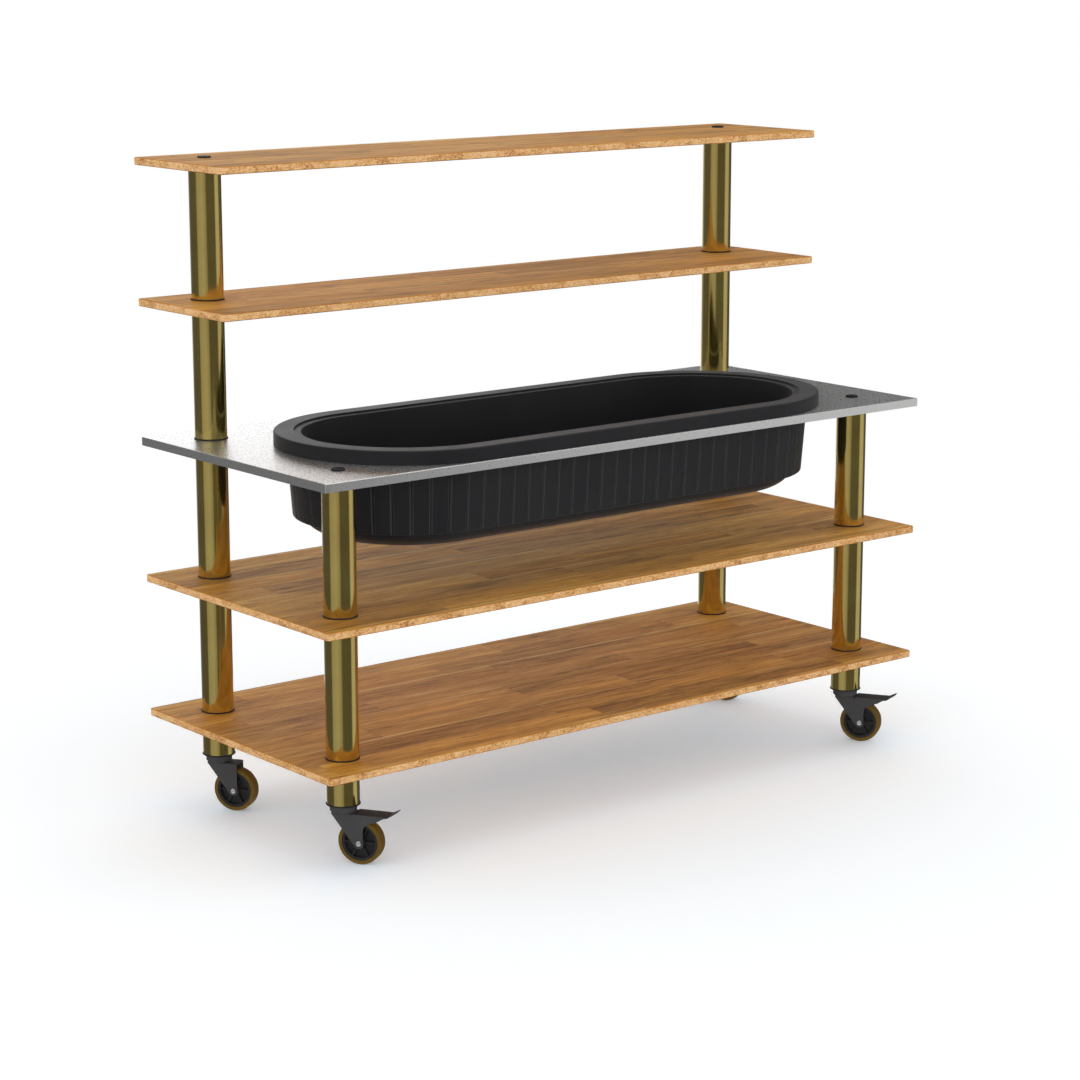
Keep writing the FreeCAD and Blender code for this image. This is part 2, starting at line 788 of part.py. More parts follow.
def build_casters():
    stem = caster_stem()
    washer = swivel_washer()
    axle = axle_set()
    hub = wheel_hub()
    tread = wheel_tread()
    pedal = brake_pedal()
    pin = pedal_pin()
    save("swivel_washers", group(at_column(washer, name) for name in columns))
    for name in columns:
        braked = name.startswith("front")
        save("caster_stem_" + name, at_column(stem, name))
        save("caster_fork_" + name, at_column(fork(braked), name))
        save("axle_set_" + name, at_column(axle, name))
        save("wheel_hub_" + name, at_column(hub, name))
        save("wheel_tread_" + name, at_column(tread, name))
        if braked:
            save("brake_pedal_" + name, at_column(pedal, name))
            save("pedal_pin_" + name, at_column(pin, name))


build_boards()
build_tub()
build_columns()
build_casters()
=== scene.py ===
import json
import math

import bmesh
import bpy
import numpy as np
from mathutils import Matrix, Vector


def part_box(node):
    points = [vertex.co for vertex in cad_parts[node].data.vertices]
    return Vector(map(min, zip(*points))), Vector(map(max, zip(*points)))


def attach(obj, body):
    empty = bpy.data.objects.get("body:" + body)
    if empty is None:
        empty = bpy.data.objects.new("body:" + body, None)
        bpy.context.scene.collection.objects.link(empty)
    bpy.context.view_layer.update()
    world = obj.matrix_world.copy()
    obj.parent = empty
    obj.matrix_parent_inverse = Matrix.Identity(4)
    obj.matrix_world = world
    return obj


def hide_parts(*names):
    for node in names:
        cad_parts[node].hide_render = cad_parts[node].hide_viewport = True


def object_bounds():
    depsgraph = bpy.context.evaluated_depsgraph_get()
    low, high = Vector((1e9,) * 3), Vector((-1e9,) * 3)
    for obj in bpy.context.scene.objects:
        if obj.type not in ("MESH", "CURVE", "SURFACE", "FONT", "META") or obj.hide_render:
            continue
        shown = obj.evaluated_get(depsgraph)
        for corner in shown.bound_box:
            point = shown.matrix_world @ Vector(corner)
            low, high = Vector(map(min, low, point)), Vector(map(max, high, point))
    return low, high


# Looks of the mobile back bar station. Lengths are in metres, angles in degrees.
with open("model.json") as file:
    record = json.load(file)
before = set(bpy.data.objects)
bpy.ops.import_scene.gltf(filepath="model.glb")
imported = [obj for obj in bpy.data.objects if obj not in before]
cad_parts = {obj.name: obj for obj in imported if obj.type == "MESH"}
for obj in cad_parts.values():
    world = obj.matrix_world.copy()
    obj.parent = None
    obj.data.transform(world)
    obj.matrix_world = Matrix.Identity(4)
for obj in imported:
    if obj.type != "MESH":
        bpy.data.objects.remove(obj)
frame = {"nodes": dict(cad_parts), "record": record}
cad_low, cad_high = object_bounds()
MM = 0.001
SAME_PLACE = 0.001 * MM
ARC_GUARD = 0.15 * MM

CORNERS = ("front_left", "front_right", "rear_left", "rear_right")
BOARDS = ("lower_shelf", "middle_shelf", "upper_shelf", "top_shelf")
FRONT_SPANS = ("stub_tube", "lower_tube", "middle_tube")
REAR_SPANS = FRONT_SPANS + ("upper_tube", "top_tube")
TUBES = [span + "_" + corner for corner in CORNERS
         for span in (FRONT_SPANS if corner.startswith("front") else REAR_SPANS)]
BODY_OF = {name: body for body, names in frame["record"]["behaviour"]["bodies"].items() for name in names}
SLOT_OF = {row["node"]: row["material_slot"] for row in frame["record"]["subparts"]}

# Heights and places that the frame gives
liner_low, liner_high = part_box("tub_liner")
TUB_CENTRE = np.array([(liner_low.x + liner_high.x) / 2, (liner_low.y + liner_high.y) / 2])
RIM_REACH = (liner_high.y - liner_low.y) / 2
TUB_HALF_STRAIGHT = (liner_high.x - liner_low.x) / 2 - RIM_REACH
RIM_TOP = liner_high.z
LINER_BASE = liner_low.z
SHELL_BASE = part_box("tub_shell")[0].z
COUNTER_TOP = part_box("counter_skin")[1].z
TOP_SHELF_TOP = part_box("top_shelf")[1].z

# Boards and counter
BOARD_CORNER_RADIUS = 7 * MM
BOARD_ARRIS_RADIUS = 2.5 * MM
SKIN_THICKNESS = 1.5 * MM
SKIN_FOLD_RADIUS = 2 * MM
CUT_OUT_REACH = 283 * MM

# Columns
TUBE_WALL = 1.5 * MM
TUBE_EDGE_RADIUS = 0.4 * MM
FLANGE_OVERHANG = 1.8 * MM
FLANGE_THICKNESS = 3 * MM
FLANGE_EDGE_RADIUS = 0.9 * MM
PLUG_DEPTH = 14 * MM
PLUG_GAP = 0.3 * MM
ROD_RADIUS = 6 * MM
ROD_HOLE_RADIUS = 6.5 * MM
CAP_RADIUS = 16 * MM
CAP_HEIGHT = 4.5 * MM
CAP_EDGE_RADIUS = 3 * MM
CAP_HEX_HALF_WIDTH = 4 * MM
CAP_HEX_DEPTH = 2.5 * MM
CAP_HEX_CHAMFER = 0.2 * MM
CAP_FOOT_RADIUS = 0.2 * MM
CAP_SLEEVE_RADIUS = 8.1 * MM
CAP_SLEEVE_BORE = 6.1 * MM
CAP_SLEEVE_LENGTH = 15 * MM

# Ice tub: a reach is measured out from the line that joins the centres of the two round ends
RIM_SKIRT_WALL = 4 * MM
RIM_EDGE_RADIUS = 5 * MM
RIM_FOOT_RADIUS = 0.4 * MM
RIM_STEP_REACH = 262 * MM
RIM_STEP_DEPTH = 5 * MM
RIM_STEP_RADIUS = 1.5 * MM
LEDGE_CORNER_RADIUS = 0.8 * MM
MOUTH_REACH = 245 * MM
MOUTH_EDGE_RADIUS = 2.5 * MM
LINER_WALL = 4 * MM
LINER_FLOOR_REACH = 219 * MM
LINER_FLOOR_RADIUS = 36 * MM
SHELL_WALL = 4 * MM
RIB_CREST_REACH = 281 * MM
RIB_DRAFT_DEGREES = 4.3
RIB_DEPTH = 168 * MM
RIB_TOE_RADIUS = 3 * MM
BASE_STEP_REACH = 240 * MM
BASE_STEP_RADIUS = 2 * MM
BASE_SHOULDER_REACH = 237 * MM
BASE_SHOULDER_DEPTH = 185 * MM
BASE_SHOULDER_RADIUS = 30 * MM
BASE_FOOT_REACH = 203 * MM
BASE_FOOT_RADIUS = 70 * MM
GROOVE_DEPTH = 5 * MM
GROOVE_MOUTH_WIDTH = 8 * MM
GROOVE_FLOOR_WIDTH = 3.5 * MM
GROOVE_PITCH = 43.8 * MM
GROOVE_TOP_DEPTH = 26 * MM
GROOVE_RUN_OUT = 3 * MM
GROOVE_EDGE_RADIUS = 1.2 * MM

# Casters, each described with its trail along X, then turned to the heading and set under its column
HEADING_DEGREES = -56
WHEEL_TRAIL = 43.5 * MM
WHEEL_RADIUS = 52.5 * MM
TREAD_WIDTH = 30 * MM
TREAD_THICKNESS = 9.5 * MM
TREAD_EDGE_RADIUS = 4 * MM
TREAD_LIP_RADIUS = 0.5 * MM
HUB_RADIUS = 43 * MM
HUB_HALF_WIDTH = 14 * MM
HUB_RECESS_RADIUS = 36.5 * MM
HUB_BOSS_RADIUS = 13.5 * MM
HUB_BOSS_HALF_WIDTH = 17.9 * MM
HUB_BORE_RADIUS = 6.2 * MM
HUB_WEB_HALF_THICKNESS = 4.5 * MM
HUB_RIB_COUNT = 6
HUB_RIB_HALF_THICKNESS = 2 * MM
HUB_RIB_TOP = 12 * MM
HUB_RIB_DRAFT = 0.5 * MM
HUB_EDGE_RADIUS = 1.2 * MM
HUB_LIP_RADIUS = 0.3 * MM
FORK_INNER = 18.2 * MM
FORK_OUTER = 21.2 * MM
AXLE_RADIUS = 4 * MM
AXLE_HEAD_RADIUS = 6.8 * MM
AXLE_HEAD_HEIGHT = 3.4 * MM
AXLE_HEAD_ROUND = 2.2 * MM
AXLE_DIMPLE_RADIUS = 1.6 * MM
AXLE_DIMPLE_DEPTH = 0.6 * AXLE_DIMPLE_RADIUS
AXLE_GAP = 0.1 * MM
SPACER_WALL = 2 * MM
AXLE_NUT_HALF_WIDTH = 6.5 * MM
AXLE_NUT_THICKNESS = 6.5 * MM
AXLE_NUT_CHAMFER = 0.12 * AXLE_NUT_HALF_WIDTH
CUP_RADIUS = 31 * MM
CUP_THICKNESS = 3 * MM
CUP_EDGE_RADIUS = 2 * MM
CUP_LIP_RADIUS = 0.5 * MM
CUP_GAP = 3 * MM
CROWN_HEIGHT = 10 * MM
KINGPIN_RADIUS = 10 * MM
KINGPIN_HEAD_RADIUS = 15 * MM
KINGPIN_HEAD_THICKNESS = 3.5 * MM
KINGPIN_EDGE_RADIUS = 1 * MM
PEDAL_PIVOT_X = 47 * MM
PEDAL_OUTER = 23.6 * MM
PIN_RADIUS = 3 * MM
PIN_HEAD_RADIUS = 4.5 * MM
PIN_HEAD_THICKNESS = 1.2 * MM
PIN_EDGE_RADIUS = 0.4 * MM
PRESSED_EDGE_RADIUS = 0.5 * MM
PRESSED_EDGE_DEGREES = 35
PRESSED_FLAT_DEGREES = 1


def unit(vector):
    """The vector at length one."""
    return vector / np.linalg.norm(vector)


def rounded(corners, steps=5, closed=True):
    """Profile through corners (u, v, radius). An arc is a circle that touches both its sides: its points turn
    evenly from the one touching point to the other about the centre. A guard point on each side keeps the
    flats flat."""
    points = np.array([corner[:2] for corner in corners], float)
    run = []
    for k, (u, v, radius) in enumerate(corners):
        here = points[k]
        if radius == 0 or (not closed and k in (0, len(corners) - 1)):
            run.append(here[None])
            continue
        behind = points[k - 1] - here
        following = points[(k + 1) % len(points)] - here
        back = unit(behind)
        ahead = unit(following)
        half = math.acos(np.clip(back @ ahead, -1, 1)) / 2
        reach = radius / math.tan(half)
        centre = here + unit(back + ahead) * radius / math.sin(half)
        turn = math.pi - 2 * half
        share = np.linspace(0, 1, steps + 1)[:, None]
        start = here + back * reach - centre
        end = here + ahead * reach - centre
        arc = centre + (np.sin((1 - share) * turn) * start + np.sin(share * turn) * end) / math.sin(turn)
        guards = [min(ARC_GUARD, (np.linalg.norm(side) - reach) / 3) for side in (behind, following)]
        run.append(np.vstack([here + back * (reach + guards[0]), arc, here + ahead * (reach + guards[1])]))
    return np.vstack(run)


def quads(rows, columns, wrap_rows, wrap_columns):
    """Corner numbers of the squares of a grid whose points are numbered row by row."""
    row, column = np.meshgrid(np.arange(rows - (not wrap_rows)), np.arange(columns - (not wrap_columns)),
                              indexing="ij")
    next_row = (row + 1) % rows
    next_column = (column + 1) % columns
    ring = [row * columns + column, row * columns + next_column,
            next_row * columns + next_column, next_row * columns + column]
    return np.stack(ring, -1).reshape(-1, 4)


def turned(profile, segments=96, closed=True):
    """Surface of revolution about Z: point (radius cos angle, radius sin angle, height) for each profile
    point and each angle of a full turn."""
    angle = np.arange(segments) * 2 * math.pi / segments
    radius, height = profile[:, :1], profile[:, 1:]
    points = np.stack([radius * np.cos(angle), radius * np.sin(angle), height + 0 * angle], -1)
    return points, closed, True


def hexagonal(profile, segments=96, closed=True):
    """Turned surface whose radius is the distance to a hexagon's side: the profile's half width divided by
    the cosine of the angle from the middle of the nearest side."""
    points, wrap_rows, wrap_columns = turned(profile, segments, closed)
    angle = np.arange(segments) * 2 * math.pi / segments
    side = math.pi / 3
    from_middle = (angle + side / 2) % side - side / 2
    return points * np.stack([1 / np.cos(from_middle)] * 2 + [np.ones(segments)], -1), wrap_rows, wrap_columns


def moved(surface, x, y):
    """The surface set over a place on the floor."""
    points, wrap_rows, wrap_columns = surface
    return points + np.array([x, y, 0]), wrap_rows, wrap_columns


def laid_over(surface, x, z):
    """The turned surface with its axis along Y, through x and z: height becomes y."""
    points, wrap_rows, wrap_columns = surface
    return np.stack([points[..., 0] + x, points[..., 2], z - points[..., 1]], -1), wrap_rows, wrap_columns


def at_corner(surface, corner):
    """A caster surface turned to the heading and set under its column."""
    points, wrap_rows, wrap_columns = surface
    turn = math.radians(HEADING_DEGREES)
    x = points[..., 0] * math.cos(turn) - points[..., 1] * math.sin(turn)
    y = points[..., 0] * math.sin(turn) + points[..., 1] * math.cos(turn)
    low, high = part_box("tie_rod_" + corner)
    centre = (low + high) / 2
    return np.stack([x + centre.x, y + centre.y, points[..., 2]], -1), wrap_rows, wrap_columns


def piece(name, surfaces, finish, nodes, crease=32):
    """One object of several surfaces that stands for its nodes: welded, outward and smooth up to the
    crease."""
    points = np.concatenate([surface[0].reshape(-1, 3) for surface in surfaces])
    faces = []
    first = 0
    for grid, wrap_rows, wrap_columns in surfaces:
        rows, columns = grid.shape[:2]
        faces.append(outward(grid.reshape(-1, 3), quads(rows, columns, wrap_rows, wrap_columns)) + first)
        first += rows * columns
    mesh = bpy.data.meshes.new(name)
    mesh.from_pydata(points, [], np.concatenate(faces).tolist())
    weld(mesh)
    mesh.shade_smooth()
    mesh.set_sharp_from_angle(angle=math.radians(crease))
    made = bpy.data.objects.new(name, mesh)
    bpy.context.scene.collection.objects.link(made)
    mesh.materials.append(finish)
    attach(made, BODY_OF[nodes[0]])
    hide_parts(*nodes)
    return made


def outward(points, faces):
    """The faces, each turned over if the closed surface that they make holds a negative volume."""
    a, b, c, d = (points[faces[:, k]] for k in range(4))
    volume = np.sum(np.cross(b - a, c - a) * a) + np.sum(np.cross(c - a, d - a) * a)
    return faces if volume >= 0 else faces[:, ::-1]


def weld(mesh):
    """Merges doubled points at seams and poles, and drops the faces that this empties."""
    shape = bmesh.new()
    shape.from_mesh(mesh)
    bmesh.ops.remove_doubles(shape, verts=shape.verts, dist=SAME_PLACE)
    shape.to_mesh(mesh)
    shape.free()


def rectangle_path(low, high, radius, along, across):
    """Path round a rectangle: centres on the rectangle shrunk by the corner radius, and the outward
    direction, which turns by a quarter at each corner."""
    x0, y0, x1, y1 = low[0] + radius, low[1] + radius, high[0] - radius, high[1] - radius
    stops = [((x0, y0), (x1, y0), along), ((x1, y0), (x1, y1), across),
             ((x1, y1), (x0, y1), along), ((x0, y1), (x0, y0), across)]
    corner_steps = 8
    centres, angles = [], []
    for k, (start, end, steps) in enumerate(stops):
        share = np.linspace(0, 1, steps)[:, None]
        centres.append(np.array(start) * (1 - share) + np.array(end) * share)
        angles.append(np.full(steps, -90 + 90 * k))
        centres.append(np.repeat(np.array([end]), corner_steps - 1, 0))
        angles.append(-90 + 90 * k + np.arange(1, corner_steps) * 90 / corner_steps)
    angle = np.radians(np.concatenate(angles))
    return np.vstack(centres), np.stack([np.cos(angle), np.sin(angle)], -1)


def board_surface(node):
    """Slab: the edge profile (reach from the corner centres, height) carried round the rectangle, closed over
    the top and bottom by rows that draw in to the board's middle line."""
    low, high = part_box(node)
    centres, normals = rectangle_path(low, high, BOARD_CORNER_RADIUS, 40, 16)
    half_depth = (high.y - low.y) / 2
    middle = np.stack([np.clip(centres[:, 0], low.x + half_depth, high.x - half_depth),
                       np.full(len(centres), (low.y + high.y) / 2)], -1)
    reach = BOARD_CORNER_RADIUS
    edge = rounded([(0, high.z, 0), (reach, high.z, BOARD_ARRIS_RADIUS),
                    (reach, low.z, BOARD_ARRIS_RADIUS), (0, low.z, 0)], closed=False)
    rows = []
    for share in np.linspace(0, 1, 7)[:-1]:
        rows.append(np.column_stack([middle + (centres - middle) * share, np.full(len(centres), high.z)]))
    for out, z in edge:
        rows.append(np.column_stack([centres + normals * out, np.full(len(centres), z)]))
    for share in np.linspace(1, 0, 7)[1:]:
        rows.append(np.column_stack([middle + (centres - middle) * share, np.full(len(centres), low.z)]))
    return np.array(rows), False, True


def oval_at_angle(angle, reach):
    """Point of the tub's oval in a direction from its centre: where the ray meets the straight side, or else
    the round end, from the quadratic for a circle about the end's centre."""
    half_straight, centre = TUB_HALF_STRAIGHT, TUB_CENTRE
    c, s = np.cos(angle), np.sin(angle)
    side = reach / np.maximum(np.abs(s), 1e-9)
    end = half_straight * np.abs(c) + np.sqrt(np.maximum(reach ** 2 - (half_straight * s) ** 2, 0))
    distance = np.where(side * np.abs(c) <= half_straight, side, end)
    return centre + np.stack([c, s], -1) * distance[:, None]


def counter_skin_surface():
    """Folded tray: rows run from the oval cut-out over the top to the rectangle, round the fold, down the
    edge, and back under the sheet to the cut-out."""
    low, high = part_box("counter_skin")
    centres, normals = rectangle_path(low, high, SKIN_FOLD_RADIUS, 120, 60)
    radius = SKIN_FOLD_RADIUS
    angle = np.arctan2(centres[:, 1] + normals[:, 1] * radius - TUB_CENTRE[1],
                       centres[:, 0] + normals[:, 0] * radius - TUB_CENTRE[0])
    hole = oval_at_angle(angle, CUT_OUT_REACH)
    under = high.z - SKIN_THICKNESS
    inner = radius - SKIN_THICKNESS
    rows = []
    for share in np.linspace(0, 1, 6)[:-1]:
        rows.append(np.column_stack([hole + (centres - hole) * share, np.full(len(centres), high.z)]))
    edge = rounded([(0, high.z, 0), (radius, high.z, radius - 0.05 * MM), (radius, low.z, 0),
                    (inner, low.z, 0), (inner, under, 0), (0, under, 0)], closed=False)
    for out, z in edge:
        rows.append(np.column_stack([centres + normals * out, np.full(len(centres), z)]))
    rows.append(np.column_stack([hole, np.full(len(centres), under)]))
    return np.array(rows), True, True


def tube_surface(node):
    """Plain tube: a closed section of the wall with eased ends, turned about the tube's axis."""
    low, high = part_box(node)
    radius = (high.x - low.x) / 2
    bore = radius - TUBE_WALL
    section = rounded([(bore, low.z, TUBE_EDGE_RADIUS), (radius, low.z, TUBE_EDGE_RADIUS),
                       (radius, high.z, TUBE_EDGE_RADIUS), (bore, high.z, TUBE_EDGE_RADIUS)], 3)
    return moved(turned(section, 128), (low.x + high.x) / 2, (low.y + high.y) / 2)


def foot_plug_surface(tube):
    """Plug with its flange under a tube: a closed section turned about the tube's axis."""
    low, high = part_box(tube)
    radius = (high.x - low.x) / 2
    flange, spigot = radius + FLANGE_OVERHANG, radius - TUBE_WALL - PLUG_GAP
    base = low.z - FLANGE_THICKNESS
    section = rounded([(ROD_HOLE_RADIUS, base, 0), (flange, base, FLANGE_EDGE_RADIUS),
                       (flange, low.z, FLANGE_EDGE_RADIUS), (spigot, low.z, 0),
                       (spigot, low.z + PLUG_DEPTH, TUBE_EDGE_RADIUS),
                       (ROD_HOLE_RADIUS, low.z + PLUG_DEPTH, 0)], 4)
    return moved(turned(section, 96), (low.x + high.x) / 2, (low.y + high.y) / 2)


def cap_nut_surfaces(corner, seat):
    """Round cap with a hexagonal recess: the recess is a hexagonal turned surface, joined to the round dome
    by rows that pass from the one outline to the other; the sleeve under it is part of the dome's section."""
    low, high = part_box("tie_rod_" + corner)
    x, y = (low.x + high.x) / 2, (low.y + high.y) / 2
    crown = seat + CAP_HEIGHT
    recess = np.array([(0, crown - CAP_HEX_DEPTH), (CAP_HEX_HALF_WIDTH, crown - CAP_HEX_DEPTH),
                       (CAP_HEX_HALF_WIDTH, crown - CAP_HEX_CHAMFER),
                       (CAP_HEX_HALF_WIDTH + CAP_HEX_CHAMFER, crown)])
    dome = rounded([(CAP_HEX_HALF_WIDTH * 1.6, crown, 0), (CAP_RADIUS, crown, CAP_EDGE_RADIUS),
                    (CAP_RADIUS, seat, CAP_FOOT_RADIUS), (CAP_SLEEVE_RADIUS, seat, 0),
                    (CAP_SLEEVE_RADIUS, seat - CAP_SLEEVE_LENGTH, 0),
                    (CAP_SLEEVE_BORE, seat - CAP_SLEEVE_LENGTH, 0),
                    (CAP_SLEEVE_BORE, seat, 0), (0, seat, 0)], 6, closed=False)
    inner = hexagonal(recess, closed=False)[0]
    outer = turned(dome, closed=False)[0]
    return [moved((np.concatenate([inner, outer]), False, True), x, y)]


def oval_path(straight_steps, end_steps):
    """Path round the tub: centres along the line between the two end centres, and the outward direction,
    which turns by half a turn at each end."""
    a = TUB_HALF_STRAIGHT
    share = np.linspace(0, 1, straight_steps, endpoint=False)
    turn = np.linspace(0, math.pi, end_steps, endpoint=False)
    along = 2 * a * share - a
    centres = np.concatenate([along, np.full(end_steps, a), -along, np.full(end_steps, -a)])
    angles = np.concatenate([np.full(straight_steps, -math.pi / 2), turn - math.pi / 2,
                             np.full(straight_steps, math.pi / 2), turn + math.pi / 2])
    normals = np.stack([np.cos(angles), np.sin(angles)], -1)
    return np.column_stack([centres, 0 * centres]) + TUB_CENTRE, normals


def carried(section, centres, normals, closed):
    """A section (reach, height) carried along a path: centre plus reach times the outward direction, at the
    height."""
    reach, height = section[:, :1, None], section[:, 1:]
    plan = centres + reach * normals
    return np.concatenate([plan, np.repeat(height, len(centres), 1)[..., None]], -1), closed, True


def liner_surface():
    """Tub liner: the closed section of well, ledge and hollow rim carried round the oval."""
    top, seat, floor = RIM_TOP, COUNTER_TOP, LINER_BASE + LINER_WALL
    ledge = top - RIM_STEP_DEPTH
    under = ledge - LINER_WALL
    section = rounded([
        (RIM_REACH, seat, RIM_FOOT_RADIUS),
        (RIM_REACH, top, RIM_EDGE_RADIUS),
        (RIM_STEP_REACH, top, RIM_STEP_RADIUS),
        (RIM_STEP_REACH, ledge, LEDGE_CORNER_RADIUS),
        (MOUTH_REACH, ledge, MOUTH_EDGE_RADIUS),
        (LINER_FLOOR_REACH, floor, LINER_FLOOR_RADIUS),
        (0, floor, 0),
        (0, LINER_BASE, 0),
        (LINER_FLOOR_REACH + LINER_WALL, LINER_BASE, LINER_FLOOR_RADIUS + LINER_WALL),
        (MOUTH_REACH + LINER_WALL, under, 0),
        (RIM_STEP_REACH + LINER_WALL, under, 0),
        (RIM_STEP_REACH + LINER_WALL, top - LINER_WALL, 0),
        (RIM_REACH - RIM_SKIRT_WALL, top - LINER_WALL, RIM_STEP_RADIUS),
        (RIM_REACH - RIM_SKIRT_WALL, seat, 0),
    ], 8)
    return carried(section, *oval_path(8, 96), True)


def groove_path():
    """Path round the tub with its points where the grooves need them, and how deep the groove is at each
    point: none on the panels, full on the groove's floor, with a straight flank between."""
    steps = math.floor(TUB_HALF_STRAIGHT / GROOVE_PITCH)
    reach = RIB_CREST_REACH - GROOVE_DEPTH
    first = (GROOVE_PITCH - (TUB_HALF_STRAIGHT - steps * GROOVE_PITCH)) / reach
    gaps = round((math.pi - 2 * first) * reach / GROOVE_PITCH)
    mouth, floor = GROOVE_MOUTH_WIDTH / 2, GROOVE_FLOOR_WIDTH / 2
    land = mouth + GROOVE_FLOOR_WIDTH / 2
    groove = rounded([(-land, 0, 0), (-mouth, 0, GROOVE_EDGE_RADIUS),
                      (-floor, GROOVE_DEPTH, GROOVE_EDGE_RADIUS), (floor, GROOVE_DEPTH, GROOVE_EDGE_RADIUS),
                      (mouth, 0, GROOVE_EDGE_RADIUS), (land, 0, 0)], 1, closed=False)
    offsets = groove[:, 0]
    depths = groove[:, 1] / GROOVE_DEPTH
    straight = (np.arange(-steps, steps + 1) * GROOVE_PITCH)[:, None] + offsets
    turn = (first + np.arange(gaps + 1) * (math.pi - 2 * first) / gaps)[:, None] + offsets / reach
    panel_share = np.linspace(0, 1, 5)[1:-1]
    between = turn[:-1, -1:] + (turn[1:, :1] - turn[:-1, -1:]) * panel_share
    turn_all = np.concatenate([[0], np.column_stack([turn[:-1], between]).ravel(), turn[-1], [math.pi]])
    depth_row = np.concatenate([depths, np.zeros(len(panel_share))])
    turn_depth = np.concatenate([[0], np.tile(depth_row, gaps), depths, [0]])
    half_centres = np.concatenate([straight.ravel(), np.full(len(turn_all), TUB_HALF_STRAIGHT)])
    half_angles = np.concatenate([np.full(straight.size, -math.pi / 2), turn_all - math.pi / 2])
    half_depths = np.concatenate([np.tile(depths, 2 * steps + 1), turn_depth])
    centres = np.concatenate([half_centres, -half_centres])
    angles = np.concatenate([half_angles, half_angles + math.pi])
    normals = np.stack([np.cos(angles), np.sin(angles)], -1)
    return np.column_stack([centres, 0 * centres]) + TUB_CENTRE, normals, np.tile(half_depths, 2)


def shell_surface():
    """Ribbed outer wall: the section's reach less the groove's depth, which is full over the drafted wall,
    runs out at its top and ends at the toes of the ribs; closed by the smooth inside of the shell."""
    centres, normals, groove = groove_path()
    draft = math.tan(math.radians(RIB_DRAFT_DEGREES))
    seat = COUNTER_TOP
    toe_z = seat - RIB_DEPTH
    toe_reach = RIB_CREST_REACH - RIB_DEPTH * draft
    groove_top = seat - GROOVE_TOP_DEPTH
    base = SHELL_BASE
    wall_top = RIM_TOP - LINER_WALL
    inner_reach = RIB_CREST_REACH - GROOVE_DEPTH - SHELL_WALL

    def wall(z):
        """Reach of the drafted wall at a height."""
        return RIB_CREST_REACH - (seat - z) * draft

    outer = np.vstack([
        [(RIB_CREST_REACH, wall_top), (RIB_CREST_REACH, seat)],
        [(wall(z), z) for z in (groove_top, groove_top - GROOVE_RUN_OUT, groove_top - 2 * GROOVE_RUN_OUT)],
        [(wall(z), z) for z in ((groove_top + toe_z) / 2, toe_z + 2 * RIB_TOE_RADIUS)],
        rounded([(wall(toe_z + RIB_TOE_RADIUS), toe_z + 2 * RIB_TOE_RADIUS, 0),
                 (toe_reach, toe_z, RIB_TOE_RADIUS), (BASE_STEP_REACH, toe_z, 0)], 4, closed=False)[1:-1],
        rounded([(toe_reach, toe_z, 0), (BASE_STEP_REACH, toe_z, BASE_STEP_RADIUS),
                 (BASE_SHOULDER_REACH, seat - BASE_SHOULDER_DEPTH, BASE_SHOULDER_RADIUS),
                 (BASE_FOOT_REACH, base, BASE_FOOT_RADIUS), (0, base, 0)], 6, closed=False)[1:],
    ])
    inner = np.vstack([
        [(0, base + SHELL_WALL)],
        rounded([(0, base + SHELL_WALL, 0),
                 (BASE_FOOT_REACH - SHELL_WALL, base + SHELL_WALL, BASE_FOOT_RADIUS),
                 (BASE_SHOULDER_REACH - SHELL_WALL, seat - BASE_SHOULDER_DEPTH, BASE_SHOULDER_RADIUS / 2),
                 (BASE_STEP_REACH - SHELL_WALL, toe_z + SHELL_WALL, 0)], 3, closed=False)[1:],
        [(toe_reach - GROOVE_DEPTH - SHELL_WALL, toe_z + SHELL_WALL)],
        [(inner_reach, seat), (inner_reach, wall_top)],
    ])
    section = np.vstack([outer, inner])
    z = section[:, 1]
    ribbed = (np.arange(len(section)) < len(outer)) & (section[:, 0] > toe_reach - 2 * RIB_TOE_RADIUS)
    run_out = np.clip((groove_top - z) / GROOVE_RUN_OUT, 0, 1)
    sink = (np.where(ribbed, run_out, 0) * GROOVE_DEPTH)[:, None] * groove
    points = carried(section, centres, normals, True)[0]
    points[..., :2] -= sink[..., None] * normals
    return points, True, True


